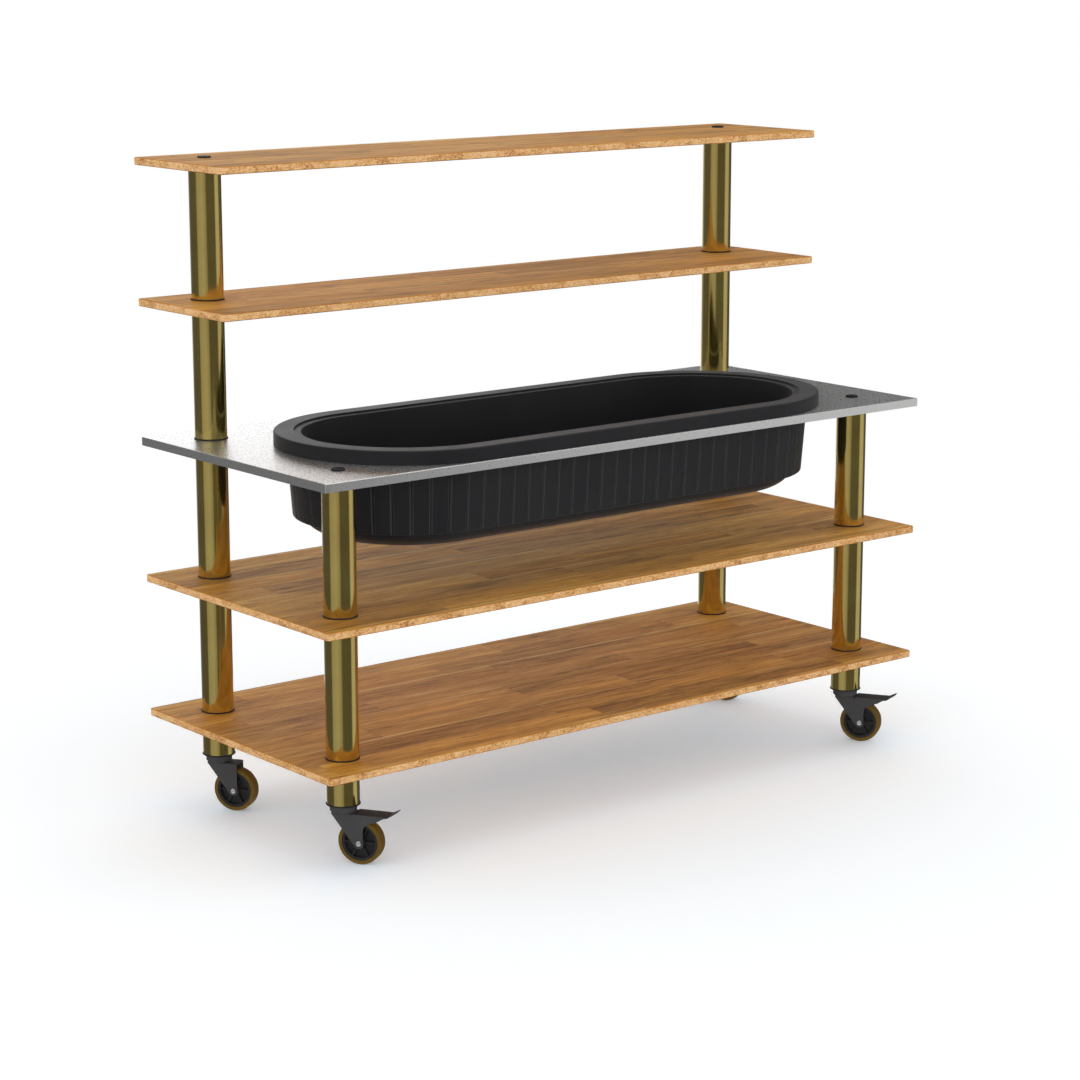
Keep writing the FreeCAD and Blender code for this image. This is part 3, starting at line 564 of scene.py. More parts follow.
def hub_surface():
    """Wheel centre: rows follow the section of bore, boss, recess and rim; in the recess the face stands at
    the web's or the rib's height. Columns beside a rib keep a fixed distance from its middle line, so the
    angle there is the arc sine of distance over radius, and those between share out what is left of the
    sector."""
    near = np.array([-1, 0, 1]) * HUB_RIB_HALF_THICKNESS
    flank = HUB_RIB_HALF_THICKNESS + HUB_RIB_DRAFT
    distances = np.concatenate([[-flank], near, [flank]])
    shares = np.linspace(0, 1, 12)[1:-1]
    sector = 2 * math.pi / HUB_RIB_COUNT
    top = rounded([(HUB_BORE_RADIUS, HUB_BOSS_HALF_WIDTH, HUB_LIP_RADIUS),
                   (HUB_BOSS_RADIUS, HUB_BOSS_HALF_WIDTH, HUB_EDGE_RADIUS),
                   (HUB_BOSS_RADIUS, HUB_WEB_HALF_THICKNESS, HUB_EDGE_RADIUS),
                   (HUB_RECESS_RADIUS, HUB_WEB_HALF_THICKNESS, HUB_EDGE_RADIUS),
                   (HUB_RECESS_RADIUS, HUB_HALF_WIDTH, HUB_EDGE_RADIUS / 2),
                   (HUB_RADIUS, HUB_HALF_WIDTH, HUB_LIP_RADIUS),
                   (HUB_RADIUS, 0, 0), (HUB_BORE_RADIUS, 0, 0)], 4)
    top = top[top[:, 1] > 0]
    radius = np.concatenate([top[:, 0], top[::-1, 0]])
    height = np.concatenate([top[:, 1], top[::-1, 1]])
    side = np.concatenate([np.ones(len(top)), -np.ones(len(top))])
    angles, levels = [], []
    for k in range(HUB_RIB_COUNT):
        beside = np.arcsin(distances / radius[:, None])
        gap = np.arcsin(flank / radius)[:, None]
        between = gap + (sector - 2 * gap) * shares
        angles.append(k * sector + np.column_stack([beside, between]))
        levels.append([0, 1, 1, 1, 0] + [0] * len(shares))
    angle = np.column_stack(angles)
    on_rib = np.concatenate(levels)[None]
    within = (radius > HUB_BOSS_RADIUS - SAME_PLACE) & (radius < HUB_RECESS_RADIUS + SAME_PLACE)
    lifted = np.maximum(height[:, None], HUB_RIB_TOP * on_rib)
    level = np.where(within[:, None], lifted, height[:, None])
    points = np.stack([radius[:, None] * np.cos(angle), radius[:, None] * np.sin(angle),
                       side[:, None] * level], -1)
    return laid_over((points, True, True), WHEEL_TRAIL, WHEEL_RADIUS)


def tread_surface():
    """Tyre: a closed section with round shoulders turned about the axle."""
    half = TREAD_WIDTH / 2
    inner = WHEEL_RADIUS - TREAD_THICKNESS
    section = rounded([(inner, half, TREAD_LIP_RADIUS), (WHEEL_RADIUS, half, TREAD_EDGE_RADIUS),
                       (WHEEL_RADIUS, -half, TREAD_EDGE_RADIUS), (inner, -half, TREAD_LIP_RADIUS)], 8)
    return laid_over(turned(section, 144), WHEEL_TRAIL, WHEEL_RADIUS)


def axle_surfaces():
    """Bolt with a domed and dimpled head, plain spacer, and hexagonal nut with eased corners."""
    head = -FORK_OUTER - AXLE_HEAD_HEIGHT
    tip = FORK_OUTER + AXLE_NUT_THICKNESS
    dimple = np.radians(np.linspace(0, 90, 7))
    hollow = np.column_stack([AXLE_DIMPLE_RADIUS * np.sin(dimple), head + AXLE_DIMPLE_DEPTH * np.cos(dimple)])
    shank = rounded([(AXLE_DIMPLE_RADIUS * 1.2, head, 0), (AXLE_HEAD_RADIUS, head, AXLE_HEAD_ROUND),
                     (AXLE_HEAD_RADIUS, -FORK_OUTER, 0), (AXLE_RADIUS, -FORK_OUTER, 0),
                     (AXLE_RADIUS, tip, PIN_EDGE_RADIUS), (0, tip, 0)], 6, closed=False)
    bolt = turned(np.vstack([hollow, shank]), 64, closed=False)
    bore = AXLE_RADIUS + AXLE_GAP
    spacer = turned(np.array([(bore, -FORK_INNER), (bore + SPACER_WALL, -FORK_INNER),
                              (bore + SPACER_WALL, FORK_INNER), (bore, FORK_INNER)]), 48)
    nut_side = np.array([(AXLE_NUT_HALF_WIDTH, FORK_OUTER), (AXLE_NUT_HALF_WIDTH, tip - AXLE_NUT_CHAMFER)])
    nut_body = hexagonal(nut_side, closed=False)[0]
    nut_end = np.array([(AXLE_NUT_HALF_WIDTH, tip), (bore, tip), (bore, FORK_OUTER)])
    nut_face = turned(nut_end, closed=False)[0]
    nut = np.concatenate([nut_body, nut_face]), True, True
    return [laid_over(surface, WHEEL_TRAIL, WHEEL_RADIUS) for surface in (bolt, spacer, nut)]


def pedal_pin_surface(corner):
    """Rivet: a turned section with a low round head at each end."""
    low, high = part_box("pedal_pin_" + corner)
    half = PEDAL_OUTER + PIN_HEAD_THICKNESS
    section = rounded([
        (0, half, 0), (PIN_HEAD_RADIUS, half, PIN_EDGE_RADIUS * 2), (PIN_HEAD_RADIUS, PEDAL_OUTER, 0),
        (PIN_RADIUS, PEDAL_OUTER, 0), (PIN_RADIUS, -PEDAL_OUTER, 0), (PIN_HEAD_RADIUS, -PEDAL_OUTER, 0),
        (PIN_HEAD_RADIUS, -half, PIN_EDGE_RADIUS * 2), (0, -half, 0)], 4, closed=False)
    return laid_over(turned(section, 48, closed=False), PEDAL_PIVOT_X, (low.z + high.z) / 2)


def stem_surface(corner):
    """Threaded stem, dust cup and kingpin of a caster: one section turned about the swivel axis."""
    low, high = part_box("caster_stem_" + corner)
    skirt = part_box("caster_fork_" + corner)[1].z - CROWN_HEIGHT + CUP_GAP
    cup_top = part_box("stub_tube_" + corner)[0].z - FLANGE_THICKNESS
    cup_inner = cup_top - CUP_THICKNESS
    section = rounded([
        (0, high.z, 0), (ROD_RADIUS, high.z, PIN_EDGE_RADIUS), (ROD_RADIUS, cup_top, 0),
        (CUP_RADIUS, cup_top, CUP_EDGE_RADIUS), (CUP_RADIUS, skirt, CUP_LIP_RADIUS),
        (CUP_RADIUS - CUP_THICKNESS, skirt, CUP_LIP_RADIUS), (CUP_RADIUS - CUP_THICKNESS, cup_inner, 0),
        (KINGPIN_RADIUS, cup_inner, 0), (KINGPIN_RADIUS, low.z + KINGPIN_HEAD_THICKNESS, 0),
        (KINGPIN_HEAD_RADIUS, low.z + KINGPIN_HEAD_THICKNESS, PIN_EDGE_RADIUS),
        (KINGPIN_HEAD_RADIUS, low.z, KINGPIN_EDGE_RADIUS), (0, low.z, 0)], 5, closed=False)
    return turned(section, 96, closed=False)


def eased(node, finish):
    """Pressed piece: a merged copy of its CAD mesh, flats joined, with every hard edge eased by a small
    bevel."""
    mesh = frame["nodes"][node].data.copy()
    shape = bmesh.new()
    shape.from_mesh(mesh)
    bmesh.ops.remove_doubles(shape, verts=shape.verts, dist=SAME_PLACE)
    bmesh.ops.dissolve_limit(shape, angle_limit=math.radians(PRESSED_FLAT_DEGREES),
                             verts=shape.verts, edges=shape.edges)
    shape.to_mesh(mesh)
    shape.free()
    mesh.materials.clear()
    mesh.materials.append(finish)
    mesh.shade_smooth()
    made = bpy.data.objects.new(node + "_pressed", mesh)
    bpy.context.scene.collection.objects.link(made)
    bevel = made.modifiers.new("eased edges", "BEVEL")
    bevel.width = PRESSED_EDGE_RADIUS
    bevel.segments = 2
    bevel.limit_method = "ANGLE"
    bevel.angle_limit = math.radians(PRESSED_EDGE_DEGREES)
    bevel.harden_normals = True
    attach(made, BODY_OF[node])
    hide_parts(node)
    return made


# Finishes. Pattern sizes are real ones in metres unless a comment says that they are drawn coarser.
def linear(code):
    """An sRGB hex colour as linear light."""
    parts = [int(code[k:k + 2], 16) / 255 for k in (1, 3, 5)]
    return tuple(c / 12.92 if c <= 0.04045 else ((c + 0.055) / 1.055) ** 2.4 for c in parts) + (1,)


def join(node, links):
    """Sets the inputs of a shader node: a number as it is, a hex colour as linear light, a socket by a link,
    and another node by a link from its first output in use."""
    for key, value in links.items():
        if isinstance(value, bpy.types.Node):
            value = next(socket for socket in value.outputs if socket.enabled)
        if isinstance(value, bpy.types.NodeSocket):
            node.id_data.links.new(value, node.inputs[key])
        else:
            node.inputs[key].default_value = linear(value) if isinstance(value, str) else value


def add(tree, kind, links=None, stops=(), **settings):
    """Adds a shader node: settings set its properties, links its inputs, and stops fill its colour ramp."""
    node = tree.nodes.new("ShaderNode" + kind)
    for key, value in settings.items():
        setattr(node, key, value)
    join(node, links or {})
    for k, (share, colour) in enumerate(stops):
        stop = node.color_ramp.elements[k] if k < 2 else node.color_ramp.elements.new(share)
        stop.position = share
        stop.color = linear(colour)
    return node


def new_material(name):
    """A material with nothing in its node tree."""
    made = bpy.data.materials.new(name)
    made.use_nodes = True
    made.node_tree.nodes.clear()
    return made, made.node_tree


def new_finish(name, **constants):
    """A material with its surface shader, whose constants are set on its own sockets."""
    made, tree = new_material(name)
    shader = add(tree, "BsdfPrincipled", {key.replace("_", " "): value for key, value in constants.items()})
    add(tree, "OutputMaterial", {"Surface": shader})
    return made, tree, shader


def oiled_staves():
    """Boards glued up from long hardwood staves, planed and oiled. The eye sees fine streaks along the
    staves, each stave of its own tone, pale lines of sapwood along some of their seams and short dark flecks;
    the cut edges are paler and blotched."""
    width, stave_length, sapwood, fleck, wander = 0.092, 0.78, 0.007, 0.009, 0.03
    blotches_per_metre, marks_per_metre = (34, 34, 60), (180, 180, 300)
    made, tree, shader = new_finish("oiled_hardwood_staves", Specular_IOR_Level=0.17)
    coords = add(tree, "TexCoord")
    place = coords.outputs["Object"]
    x, y, z = add(tree, "SeparateXYZ", {0: place}).outputs
    facing = add(tree, "SeparateXYZ", {0: coords.outputs["Normal"]}).outputs[2]

    # The stave that a place lies in has a tone of its own
    board = add(tree, "Math", {0: z, 1: 0.1}, operation="SNAP")
    across = add(tree, "Math", {0: y, 1: width}, operation="DIVIDE")
    row = add(tree, "Math", {0: across}, operation="FLOOR")
    row_place = add(tree, "CombineXYZ", {0: row, 1: board})
    row_chance = add(tree, "TexWhiteNoise", {"Vector": row_place}, noise_dimensions="3D")
    along = add(tree, "Math", {0: x, 1: 1 / stave_length, 2: row_chance}, operation="MULTIPLY_ADD")
    stave = add(tree, "Math", {0: along}, operation="FLOOR")
    stave_place = add(tree, "CombineXYZ", {0: row, 1: board, 2: stave})
    tone = add(tree, "TexWhiteNoise", {"Vector": stave_place}, noise_dimensions="3D")
    seed = add(tree, "Math", {0: tone, 1: 60.0}, operation="MULTIPLY")

    def grain(per_metre, per_metre_across, detail, roughness=0.55, distortion=0.0):
        """Noise drawn out along X, so many features to a metre along and across, anew in each stave."""
        drawn = add(tree, "CombineXYZ", {
            0: add(tree, "Math", {0: x, 1: per_metre}, operation="MULTIPLY"),
            1: add(tree, "Math", {0: bent, 1: per_metre_across}, operation="MULTIPLY"),
            2: seed})
        return add(tree, "TexNoise", {"Vector": drawn, "Scale": 1, "Detail": detail,
                                      "Roughness": roughness, "Distortion": distortion})

    # The fibres wander a few millimetres to the side
    bent = y
    bent = add(tree, "Math", {0: grain(1.6, 3.0, 2), 1: wander, 2: y}, operation="MULTIPLY_ADD")
    bands = grain(1.5, 15, 5, 0.68, 0.4)
    streaks = grain(6, 66, 6, 0.72)
    fibres = grain(22, 240, 4, 0.7)
    mixed = add(tree, "Math", {0: streaks, 1: 0.38}, operation="MULTIPLY")
    for part, weight in ((bands, 0.4), (fibres, 0.18), (tone, 0.07)):
        mixed = add(tree, "Math", {0: part, 1: weight, 2: mixed}, operation="MULTIPLY_ADD")
    brown = add(tree, "ValToRGB", {0: mixed}, [
        (0.4, "#815526"), (0.62, "#d3a04c"), (0.46, "#a1702f"), (0.51, "#b47f35"), (0.565, "#c28c3d")])
    warmth = add(tree, "MapRange", {"Value": grain(0.9, 3.2, 3), "From Min": 0.45, "From Max": 0.62})
    face = add(tree, "Mix", {0: warmth, 6: brown, 7: (1.04, 0.95, 0.68, 1)}, data_type="RGBA",
               blend_type="MULTIPLY")

    # Sapwood lines run along the seams of some staves, and a fine dark joint closes each end
    from_seam = add(tree, "Math", {0: y, 1: width}, operation="PINGPONG")
    vein = add(tree, "MapRange", {"Value": from_seam, "From Min": sapwood, "From Max": sapwood / 3})
    sappy = add(tree, "MapRange", {"Value": grain(1.3, 0.4, 2), "From Min": 0.42, "From Max": 0.55,
                                   "To Max": 0.7})
    vein = add(tree, "Math", {0: vein, 1: sappy}, operation="MULTIPLY")
    face = add(tree, "Mix", {0: vein, 6: face, 7: "#d6b266"}, data_type="RGBA")
    into_stave = add(tree, "Math", {0: along}, operation="FRACT")
    joint = add(tree, "MapRange", {"Value": into_stave, "From Min": 0.0025, "From Max": 0.001, "To Max": 0.6})
    face = add(tree, "Mix", {0: joint, 6: face, 7: "#5f3d20"}, data_type="RGBA")

    # Short dark flecks lie in clusters
    flecks = add(tree, "MapRange", {"Value": grain(13, 1 / fleck, 3), "From Min": 0.57, "From Max": 0.68})
    clusters = add(tree, "MapRange", {"Value": grain(2.6, 9, 3), "From Min": 0.42, "From Max": 0.58,
                                      "To Max": 0.7})
    flecks = add(tree, "Math", {0: flecks, 1: clusters}, operation="MULTIPLY")
    face = add(tree, "Mix", {0: flecks, 6: face, 7: "#5a3a30"}, data_type="RGBA")

    # Cut edges are paler, in blotches 20 to 40 mm long, with thin dark marks between some of them
    blotch_place = add(tree, "VectorMath", {0: place, 1: blotches_per_metre}, operation="MULTIPLY")
    blotches = add(tree, "TexVoronoi", {"Vector": blotch_place, "Scale": 1, "Randomness": 0.9})
    blotch = add(tree, "SeparateXYZ", {0: blotches.outputs["Color"]})
    mark_place = add(tree, "VectorMath", {0: place, 1: marks_per_metre}, operation="MULTIPLY")
    marks = add(tree, "TexNoise", {"Vector": mark_place, "Scale": 1, "Detail": 4})
    edge_tone = add(tree, "Math", {0: blotch, 1: 0.2, 2: marks}, operation="MULTIPLY_ADD")
    edge = add(tree, "ValToRGB", {0: edge_tone}, [
        (0.36, "#7c5229"), (0.74, "#c29d70"), (0.46, "#a07140"), (0.58, "#b08651")])
    level = add(tree, "Math", {0: facing}, operation="ABSOLUTE")
    is_edge = add(tree, "MapRange", {"Value": level, "From Min": 0.45, "From Max": 0.2})
    colour = add(tree, "Mix", {0: is_edge, 6: face, 7: edge}, data_type="RGBA")

    # The eased corners are drawn in a tone of their own: golden on the upper ones, and a deeper brown,
    # painted shade, on the lower, downward-facing ones
    corner = add(tree, "ValToRGB", {0: level}, [
        (0.2, "#000000"), (0.985, "#000000"), (0.45, "#ffffff"), (0.93, "#ffffff")])
    above = add(tree, "Math", {0: facing, 1: 0.0}, operation="GREATER_THAN")
    corner_tone_and_painted_shade = add(tree, "Mix", {0: above, 6: "#6e4420", 7: "#a3661f"}, data_type="RGBA")
    patchy = add(tree, "MapRange", {"Value": grain(14, 14, 2), "From Min": 0.35, "From Max": 0.6,
                                    "To Min": 0.45, "To Max": 0.9})
    corner = add(tree, "Math", {0: corner, 1: patchy}, operation="MULTIPLY")
    colour = add(tree, "Mix", {0: corner, 6: colour, 7: corner_tone_and_painted_shade}, data_type="RGBA")
    rough = add(tree, "MapRange", {"Value": streaks, "From Min": 0.3, "From Max": 0.7,
                                   "To Min": 0.66, "To Max": 0.54})
    bump = add(tree, "Bump", {"Height": fibres, "Strength": 0.15, "Distance": 0.0004})
    join(shader, {"Base Color": colour, "Roughness": rough, "Normal": bump})
    return made


def stuccoed_aluminium():
    """Aluminium sheet rolled with a fine pebbled grain: half a mirror, in which upright things show as long
    soft streaks, with plain folded edges. The pebbles' glints are painted sparkle: bright and grey specks in
    the colour of the top. Real pebbles are about 3 mm long; they are drawn at 5 mm so that they still show at
    the camera's low angle."""
    pebble = 0.005
    made, tree, shader = new_finish("stuccoed_aluminium_sheet", Metallic=1)
    coords = add(tree, "TexCoord")
    pebbles = add(tree, "TexNoise", {"Vector": coords.outputs["Object"], "Scale": 1 / pebble, "Detail": 1,
                                     "Roughness": 0.6})
    facing = add(tree, "SeparateXYZ", {0: coords.outputs["Normal"]}).outputs[2]
    top = add(tree, "MapRange", {"Value": facing, "From Min": 0.8, "From Max": 0.95})
    # Painted sparkle: the pebbles' glints are drawn into the colour of the top as bright and grey specks
    grain = add(tree, "ValToRGB", {0: pebbles}, [(0.3, "#b8b8b7"), (0.5, "#ffffff")])
    colour = add(tree, "Mix", {0: top, 6: "#f4f4f3", 7: grain}, data_type="RGBA")
    rough = add(tree, "MapRange", {"Value": pebbles, "From Min": 0.3, "From Max": 0.7,
                                   "To Min": 0.27, "To Max": 0.35})
    bump = add(tree, "Bump", {"Height": pebbles, "Strength": top, "Distance": 0.0004})
    join(shader, {"Base Color": colour, "Roughness": rough, "Normal": bump})
    return made


def lacquered_brass():
    """Drawn brass tube, polished lengthwise and lacquered: a clear mirror with faint soft streaks along the
    tube, and rims that the thick lacquer whitens."""
    streak, streaks_per_metre_along = 0.002, 2.4
    made, tree, shader = new_finish("lacquered_brass_tube", Metallic=1, Coat_Weight=1, Coat_IOR=1.9,
                                    Coat_Roughness=0.08)
    place = add(tree, "TexCoord").outputs["Object"]
    drawn = add(tree, "VectorMath", {0: place, 1: (1 / streak, 1 / streak, streaks_per_metre_along)},
                operation="MULTIPLY")
    lines = add(tree, "TexNoise", {"Vector": drawn, "Scale": 1, "Detail": 2})
    haze = add(tree, "TexNoise", {"Vector": place, "Scale": 12, "Detail": 3})
    colour = add(tree, "ValToRGB", {0: haze}, [(0.3, "#d3b74e"), (0.7, "#d9c05a")])
    both = add(tree, "Math", {0: lines, 1: haze}, operation="ADD")
    rough = add(tree, "MapRange", {"Value": both, "From Min": 0.7, "From Max": 1.3,
                                   "To Min": 0.09, "To Max": 0.16})
    bump = add(tree, "Bump", {"Height": lines, "Strength": 0.04, "Distance": 0.0002})
    join(shader, {"Base Color": colour, "Roughness": rough, "Normal": bump})
    return made


def moulded(name, dark, light, rough_low, rough_high, grain, relief, **constants):
    """Moulded or coated surface: a fine even grain in the relief, and a slow drift of tone and gloss."""
    made, tree, shader = new_finish(name, **constants)
    place = add(tree, "TexCoord").outputs["Object"]
    skin = add(tree, "TexNoise", {"Vector": place, "Scale": 1 / grain, "Detail": 3})
    drift = add(tree, "TexNoise", {"Vector": place, "Scale": 9, "Detail": 4})
    colour = add(tree, "ValToRGB", {0: drift}, [(0.3, dark), (0.7, light)])
    rough = add(tree, "MapRange", {"Value": drift, "From Min": 0.3, "From Max": 0.7,
                                   "To Min": rough_low, "To Max": rough_high})
    bump = add(tree, "Bump", {"Height": skin, "Strength": relief, "Distance": 0.0003})
    join(shader, {"Base Color": colour, "Roughness": rough, "Normal": bump})
    return made


def ribs_with_painted_highlights(made, light):
    """The tub's finish, with the flanks and edges of its ribs painted lighter as a painted highlight, and
    what faces up painted a little lighter as painted top light. The ribs are found by how far the surface
    turns aside from the plain oval wall."""
    painted_top_light_share = 0.3
    tree = made.node_tree
    shader = next(node for node in tree.nodes if node.type == "BSDF_PRINCIPLED")
    plain = shader.inputs["Base Color"].links[0].from_socket
    coords = add(tree, "TexCoord")
    normal = coords.outputs["Normal"]
    place = add(tree, "VectorMath", {0: coords.outputs["Object"], 1: (*TUB_CENTRE, 0)}, operation="SUBTRACT")
    place = add(tree, "VectorMath", {0: place, 1: (1, 1, 0)}, operation="MULTIPLY")
    nearest = add(tree, "VectorMath", {0: place, 1: (TUB_HALF_STRAIGHT, 0, 0)}, operation="MINIMUM")
    nearest = add(tree, "VectorMath", {0: nearest, 1: (-TUB_HALF_STRAIGHT, 0, 0)}, operation="MAXIMUM")
    away = add(tree, "VectorMath", {0: place, 1: nearest}, operation="SUBTRACT")
    away = add(tree, "VectorMath", {0: away}, operation="NORMALIZE")
    aside = add(tree, "VectorMath", {0: away, 1: normal}, operation="CROSS_PRODUCT")
    aside = add(tree, "SeparateXYZ", {0: aside}).outputs[2]
    aside = add(tree, "Math", {0: aside}, operation="ABSOLUTE")
    # Painted highlight: rib flanks and edges drawn lighter, and upward faces a little lighter, for light that
    # they catch
    painted_highlight = add(tree, "MapRange", {"Value": aside, "From Min": 0.3, "From Max": 0.6})
    facing = add(tree, "SeparateXYZ", {0: normal}).outputs[2]
    up = add(tree, "MapRange", {"Value": facing, "From Min": 0.6, "From Max": 0.9, "To Max": painted_top_light_share})
    painted_highlight = add(tree, "Math", {0: painted_highlight, 1: up}, operation="MAXIMUM")
    join(shader, {"Base Color": add(tree, "Mix", {0: painted_highlight, 6: plain, 7: light}, data_type="RGBA")})
    return made


FINISHES = {
    "shelf_wood": oiled_staves(),
    "counter_metal": stuccoed_aluminium(),
    "column_brass": lacquered_brass(),
    # Pressed chipboard: flecks of pale and dark chips, dull
    "core_board": moulded("chipboard_core", "#8f7450", "#b89a70", 0.75, 0.85, 0.003, 0.6),
    # Rotationally moulded polyethylene: deep black, dull, with a fine skin and a faint bloom at a low angle
    # Its rib flanks and edges and its upward faces get a lighter grey: painted highlight and painted top
    # light
    "tub_plastic": ribs_with_painted_highlights(moulded(
        "moulded_polyethylene", "#17171a", "#1b1b1d", 0.42, 0.5, 0.0016, 0.1,
        Specular_IOR_Level=0.14, Sheen_Weight=0.05, Sheen_Roughness=0.5), "#343435"),
    # Closed-cell foam: pale cream, dull, with visible cells
    "foam": moulded("closed_cell_foam", "#d8d2c0", "#e6e0d0", 0.9, 0.95, 0.002, 0.5),
    # Glass-filled nylon: black, slightly grey, half dull
    "black_plastic": moulded("glass_filled_nylon", "#1c1c1e", "#222224", 0.45, 0.55, 0.0012, 0.15,
                             Specular_IOR_Level=0.25),
    # Powder coat on pressed steel: charcoal, satin, with a fine orange peel
    "black_metal": moulded("charcoal_powder_coat", "#363637", "#3c3c3d", 0.56, 0.64, 0.0018, 0.2,
                           Specular_IOR_Level=0.12),
    # Zinc plate: pale grey metal, half dull, with a cloudy tone
    "plated_steel": moulded("zinc_plated_steel", "#b4b6b8", "#cfd1d2", 0.28, 0.4, 0.004, 0.1, Metallic=1),
    # Chrome plate: bright smooth mirror
    "axle_chrome": moulded("chrome_plated_steel", "#d9dadb", "#e6e7e8", 0.1, 0.16, 0.004, 0.02, Metallic=1),
    # Cast polyurethane tyre: dark amber brown, waxy
    "wheel_rubber": moulded("cast_polyurethane", "#4e3a03", "#5c4505", 0.36, 0.44, 0.0012, 0.08,
                            Specular_IOR_Level=0.25),
}
# Blackened steel: the cap nuts, almost black and dull
CAP_FINISH = moulded("blackened_steel_caps", "#1b1b1c", "#202021", 0.34, 0.42, 0.0018, 0.1,
                     Specular_IOR_Level=0.12)


def dressed(name, surfaces, node, crease=32):
    """The piece that stands for a node, in the finish of the node's slot."""
    finish = CAP_FINISH if node == "cap_nuts" else FINISHES[SLOT_OF[node]]
    return piece(name, surfaces, finish, [node], crease)


# Pieces
for node in BOARDS:
    dressed(node + "_board", [board_surface(node)], node)
dressed("counter_tray", [counter_skin_surface()], "counter_skin", crease=40)
dressed("tub_well", [liner_surface()], "tub_liner")
dressed("tub_ribbed_wall", [shell_surface()], "tub_shell", crease=40)
for node in TUBES:
    dressed(node + "_turned", [tube_surface(node)], node)
dressed("column_foot_plugs", [foot_plug_surface(node) for node in TUBES], "foot_plugs")
dressed("column_cap_nuts", [surface for corner in CORNERS for surface in cap_nut_surfaces(
    corner, COUNTER_TOP if corner.startswith("front") else TOP_SHELF_TOP)], "cap_nuts")
for corner in CORNERS:
    dressed("caster_stem_and_cup_" + corner, [at_corner(stem_surface(corner), corner)],
            "caster_stem_" + corner)
    dressed("axle_bolt_" + corner, [at_corner(surface, corner) for surface in axle_surfaces()],
            "axle_set_" + corner)
    dressed("wheel_centre_" + corner, [at_corner(hub_surface(), corner)], "wheel_hub_" + corner)
    dressed("wheel_tyre_" + corner, [at_corner(tread_surface(), corner)], "wheel_tread_" + corner)
    eased("caster_fork_" + corner, FINISHES["black_metal"])
    if corner.startswith("front"):
        eased("brake_pedal_" + corner, FINISHES["black_metal"])
        dressed("pedal_rivet_" + corner, [at_corner(pedal_pin_surface(corner), corner)],
                "pedal_pin_" + corner)
for node, shown in frame["nodes"].items():
    for socket in shown.material_slots:
        socket.material = FINISHES[SLOT_OF[node]]


# Studio
def floor_stage():
    """Pale floor that keeps the object's shadow and passes into plain white further out. The camera sees it a
    little paler than the light does; under the object it is painted darker and cooler, a painted shade that
    also offsets the warm light that the boards send down."""
    near, far, soft = 1.2, 3.4, 0.4
    pale, seen, painted_shade_under = (0.92, 0.92, 0.92, 1), (1.15, 1.19, 1.22, 1), (0.85, 1.05, 1.25, 1)
    made, tree = new_material("pale_floor")
    place = add(tree, "TexCoord").outputs["Object"]
    camera_ray = add(tree, "LightPath").outputs["Is Camera Ray"]
    sides = add(tree, "VectorMath", {0: place}, operation="ABSOLUTE")
    sides = add(tree, "VectorMath", {0: sides, 1: (cad_high[0], cad_high[1], 0)}, operation="SUBTRACT")
    past = add(tree, "SeparateXYZ", {0: sides}).outputs
    outside = add(tree, "Math", {0: past[0], 1: past[1]}, operation="MAXIMUM")
    # Painted shade: the tone that the camera sees is darker and cooler over the object's plan, fading out
    # past its sides
    outer = add(tree, "MapRange", {"Value": outside, "From Min": -soft, "From Max": soft / 2},
                interpolation_type="SMOOTHSTEP")
    tone = add(tree, "Mix", {0: outer, 6: painted_shade_under, 7: seen}, data_type="RGBA")
    tone = add(tree, "Mix", {0: camera_ray, 6: pale, 7: tone}, data_type="RGBA")
    reach = add(tree, "VectorMath", {0: place}, operation="LENGTH")
    share = add(tree, "MapRange", {"Value": reach, "From Min": near, "From Max": far},
                interpolation_type="SMOOTHSTEP")
    share = add(tree, "Math", {0: share, 1: camera_ray}, operation="MULTIPLY")
    matt = add(tree, "BsdfDiffuse", {"Color": tone})
    white = add(tree, "Emission", {"Color": (1, 1, 1, 1), "Strength": 1})
    both = add(tree, "MixShader", {0: share, 1: matt, 2: white})
    add(tree, "OutputMaterial", {"Surface": both})
    bpy.ops.mesh.primitive_circle_add(vertices=96, radius=60, fill_type="NGON")
    floor = bpy.context.object
    floor.name = "studio_floor"
    floor.data.materials.append(made)
    floor.visible_glossy = False


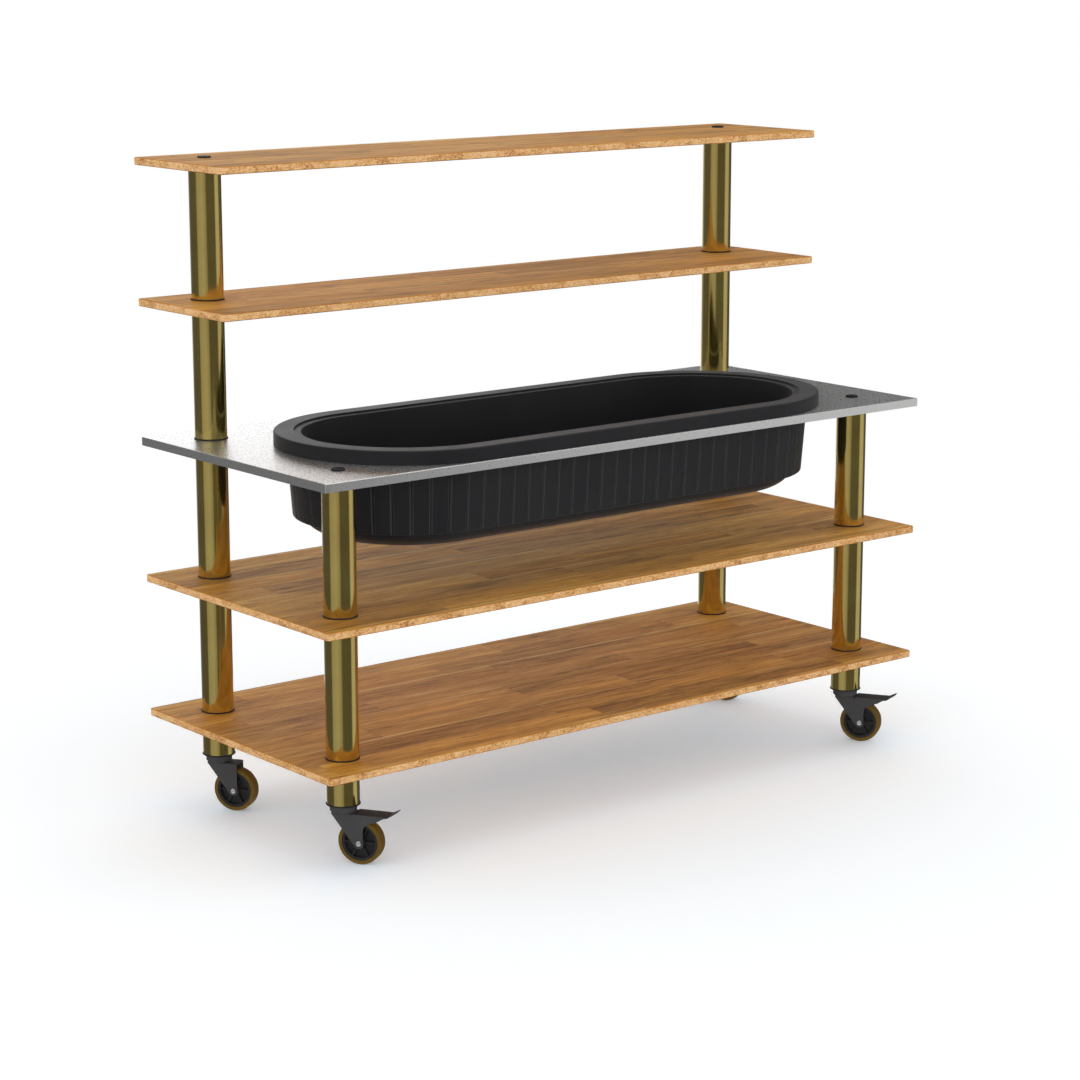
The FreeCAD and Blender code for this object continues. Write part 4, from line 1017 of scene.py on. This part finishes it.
def studio_cards():
    """Ring of light and dark card far round the object, seen only in gloss: brightness by compass angle,
    counted from +X towards +Y."""
    radius, low, high, segments, dark = 8.0, -6.0, 8.0, 128, 0.1
    cards = [(-180, 0.38), (-150, 0.42), (-128, 0.31), (-120, dark), (-60, dark), (-56, 0.3), (-50, 0.54),
             (-22, 0.5), (-12, dark), (28, 0.07), (36, 0.06), (44, 0.04), (48, 0.14), (53, 0.95), (59, 1.1),
             (76, 1.1), (83, 0.32), (100, 0.3), (108, dark), (170, dark), (175, 0.35)]
    angle = np.arange(segments) * 2 * math.pi / segments
    circle = np.stack([np.cos(angle) * radius, np.sin(angle) * radius], -1)
    rows = np.array([np.column_stack([circle, np.full(segments, z)]) for z in (low, high)])
    mesh = bpy.data.meshes.new("studio_cards")
    mesh.from_pydata(rows.reshape(-1, 3), [], quads(2, segments, False, True)[:, ::-1].tolist())
    made, tree = new_material("studio_cards")
    x, y, z = add(tree, "SeparateXYZ", {0: add(tree, "TexCoord").outputs["Object"]}).outputs
    turn = add(tree, "Math", {0: y, 1: x}, operation="ARCTAN2")
    ramp = add(tree, "ValToRGB", {
        0: add(tree, "MapRange", {"Value": turn, "From Min": -math.pi, "From Max": math.pi})})
    ramp.color_ramp.interpolation = "EASE"
    for k, (degrees, grey) in enumerate(cards):
        place = (degrees + 180) / 360
        stop = ramp.color_ramp.elements[k] if k < 2 else ramp.color_ramp.elements.new(place)
        stop.position = place
        stop.color = (grey, grey, grey, 1)
    glow = add(tree, "Emission", {"Color": ramp, "Strength": 1})
    add(tree, "OutputMaterial", {"Surface": glow})
    mesh.materials.append(made)
    cards_object = bpy.data.objects.new("studio_cards", mesh)
    bpy.context.scene.collection.objects.link(cards_object)
    for ray in ("camera", "diffuse", "transmission", "volume_scatter", "shadow"):
        setattr(cards_object, "visible_" + ray, False)


def room_light():
    """World: white where the camera and gloss look past the object. Soft light comes from all round, more of
    it from the sides than from above: base plus gain times (1 - height of the direction) cubed."""
    base, gain, power = 0.32, 5.6, 3.0
    world = bpy.data.worlds.new("studio")
    bpy.context.scene.world = world
    world.use_nodes = True
    tree = world.node_tree
    tree.nodes.clear()
    up = add(tree, "SeparateXYZ", {0: add(tree, "TexCoord").outputs["Generated"]}).outputs[2]
    up = add(tree, "Math", {0: up, 1: 0.0}, operation="MAXIMUM")
    low = add(tree, "Math", {0: 1.0, 1: up}, operation="SUBTRACT")
    low = add(tree, "Math", {0: low, 1: power}, operation="POWER")
    soft = add(tree, "Math", {0: low, 1: gain, 2: base}, operation="MULTIPLY_ADD")
    rays = add(tree, "LightPath").outputs
    seen = rays["Is Camera Ray"]
    for ray in ("Is Glossy Ray", "Is Transmission Ray"):
        seen = add(tree, "Math", {0: seen, 1: rays[ray]}, operation="MAXIMUM")
    strength = add(tree, "Mix", {0: seen, 2: soft, 3: 1.0})
    glow = add(tree, "Background", {"Color": (1, 1, 1, 1), "Strength": strength})
    add(tree, "OutputWorld", {"Surface": glow})


def overhead_softbox():
    """Soft square lamp over the object, facing down."""
    height, side, watts = 5, 5, 30
    light = bpy.data.lights.new("overhead_softbox", "AREA")
    light.size = side
    light.energy = watts
    made = bpy.data.objects.new("overhead_softbox", light)
    made.location = (0, 0, height)
    bpy.context.scene.collection.objects.link(made)


floor_stage()
studio_cards()
room_light()
overhead_softbox()

# Camera at the photo's place: a long lens, 12 degrees down, from the left of the front
CAMERA_PLACE = (-4.3451, -5.3772, 2.0806)
CAMERA_TURN, CAMERA_TILT, CAMERA_ROLL = -38.843, 12.114, -0.043
FOCAL_LENGTH_MM, SENSOR_MM = 95.20, 36
lens = bpy.data.cameras.new("camera")
lens.sensor_width = SENSOR_MM
lens.sensor_fit = "HORIZONTAL"
lens.lens = FOCAL_LENGTH_MM
lens.clip_end = 300
camera = bpy.data.objects.new("camera", lens)
bpy.context.scene.collection.objects.link(camera)
camera.matrix_world = (Matrix.Translation(CAMERA_PLACE) @ Matrix.Rotation(math.radians(CAMERA_TURN), 4, "Z")
                       @ Matrix.Rotation(math.radians(90 - CAMERA_TILT), 4, "X")
                       @ Matrix.Rotation(math.radians(CAMERA_ROLL), 4, "Z"))
bpy.context.scene.camera = camera
bpy.context.scene.view_settings.view_transform = "Standard"

bpy.context.view_layer.update()
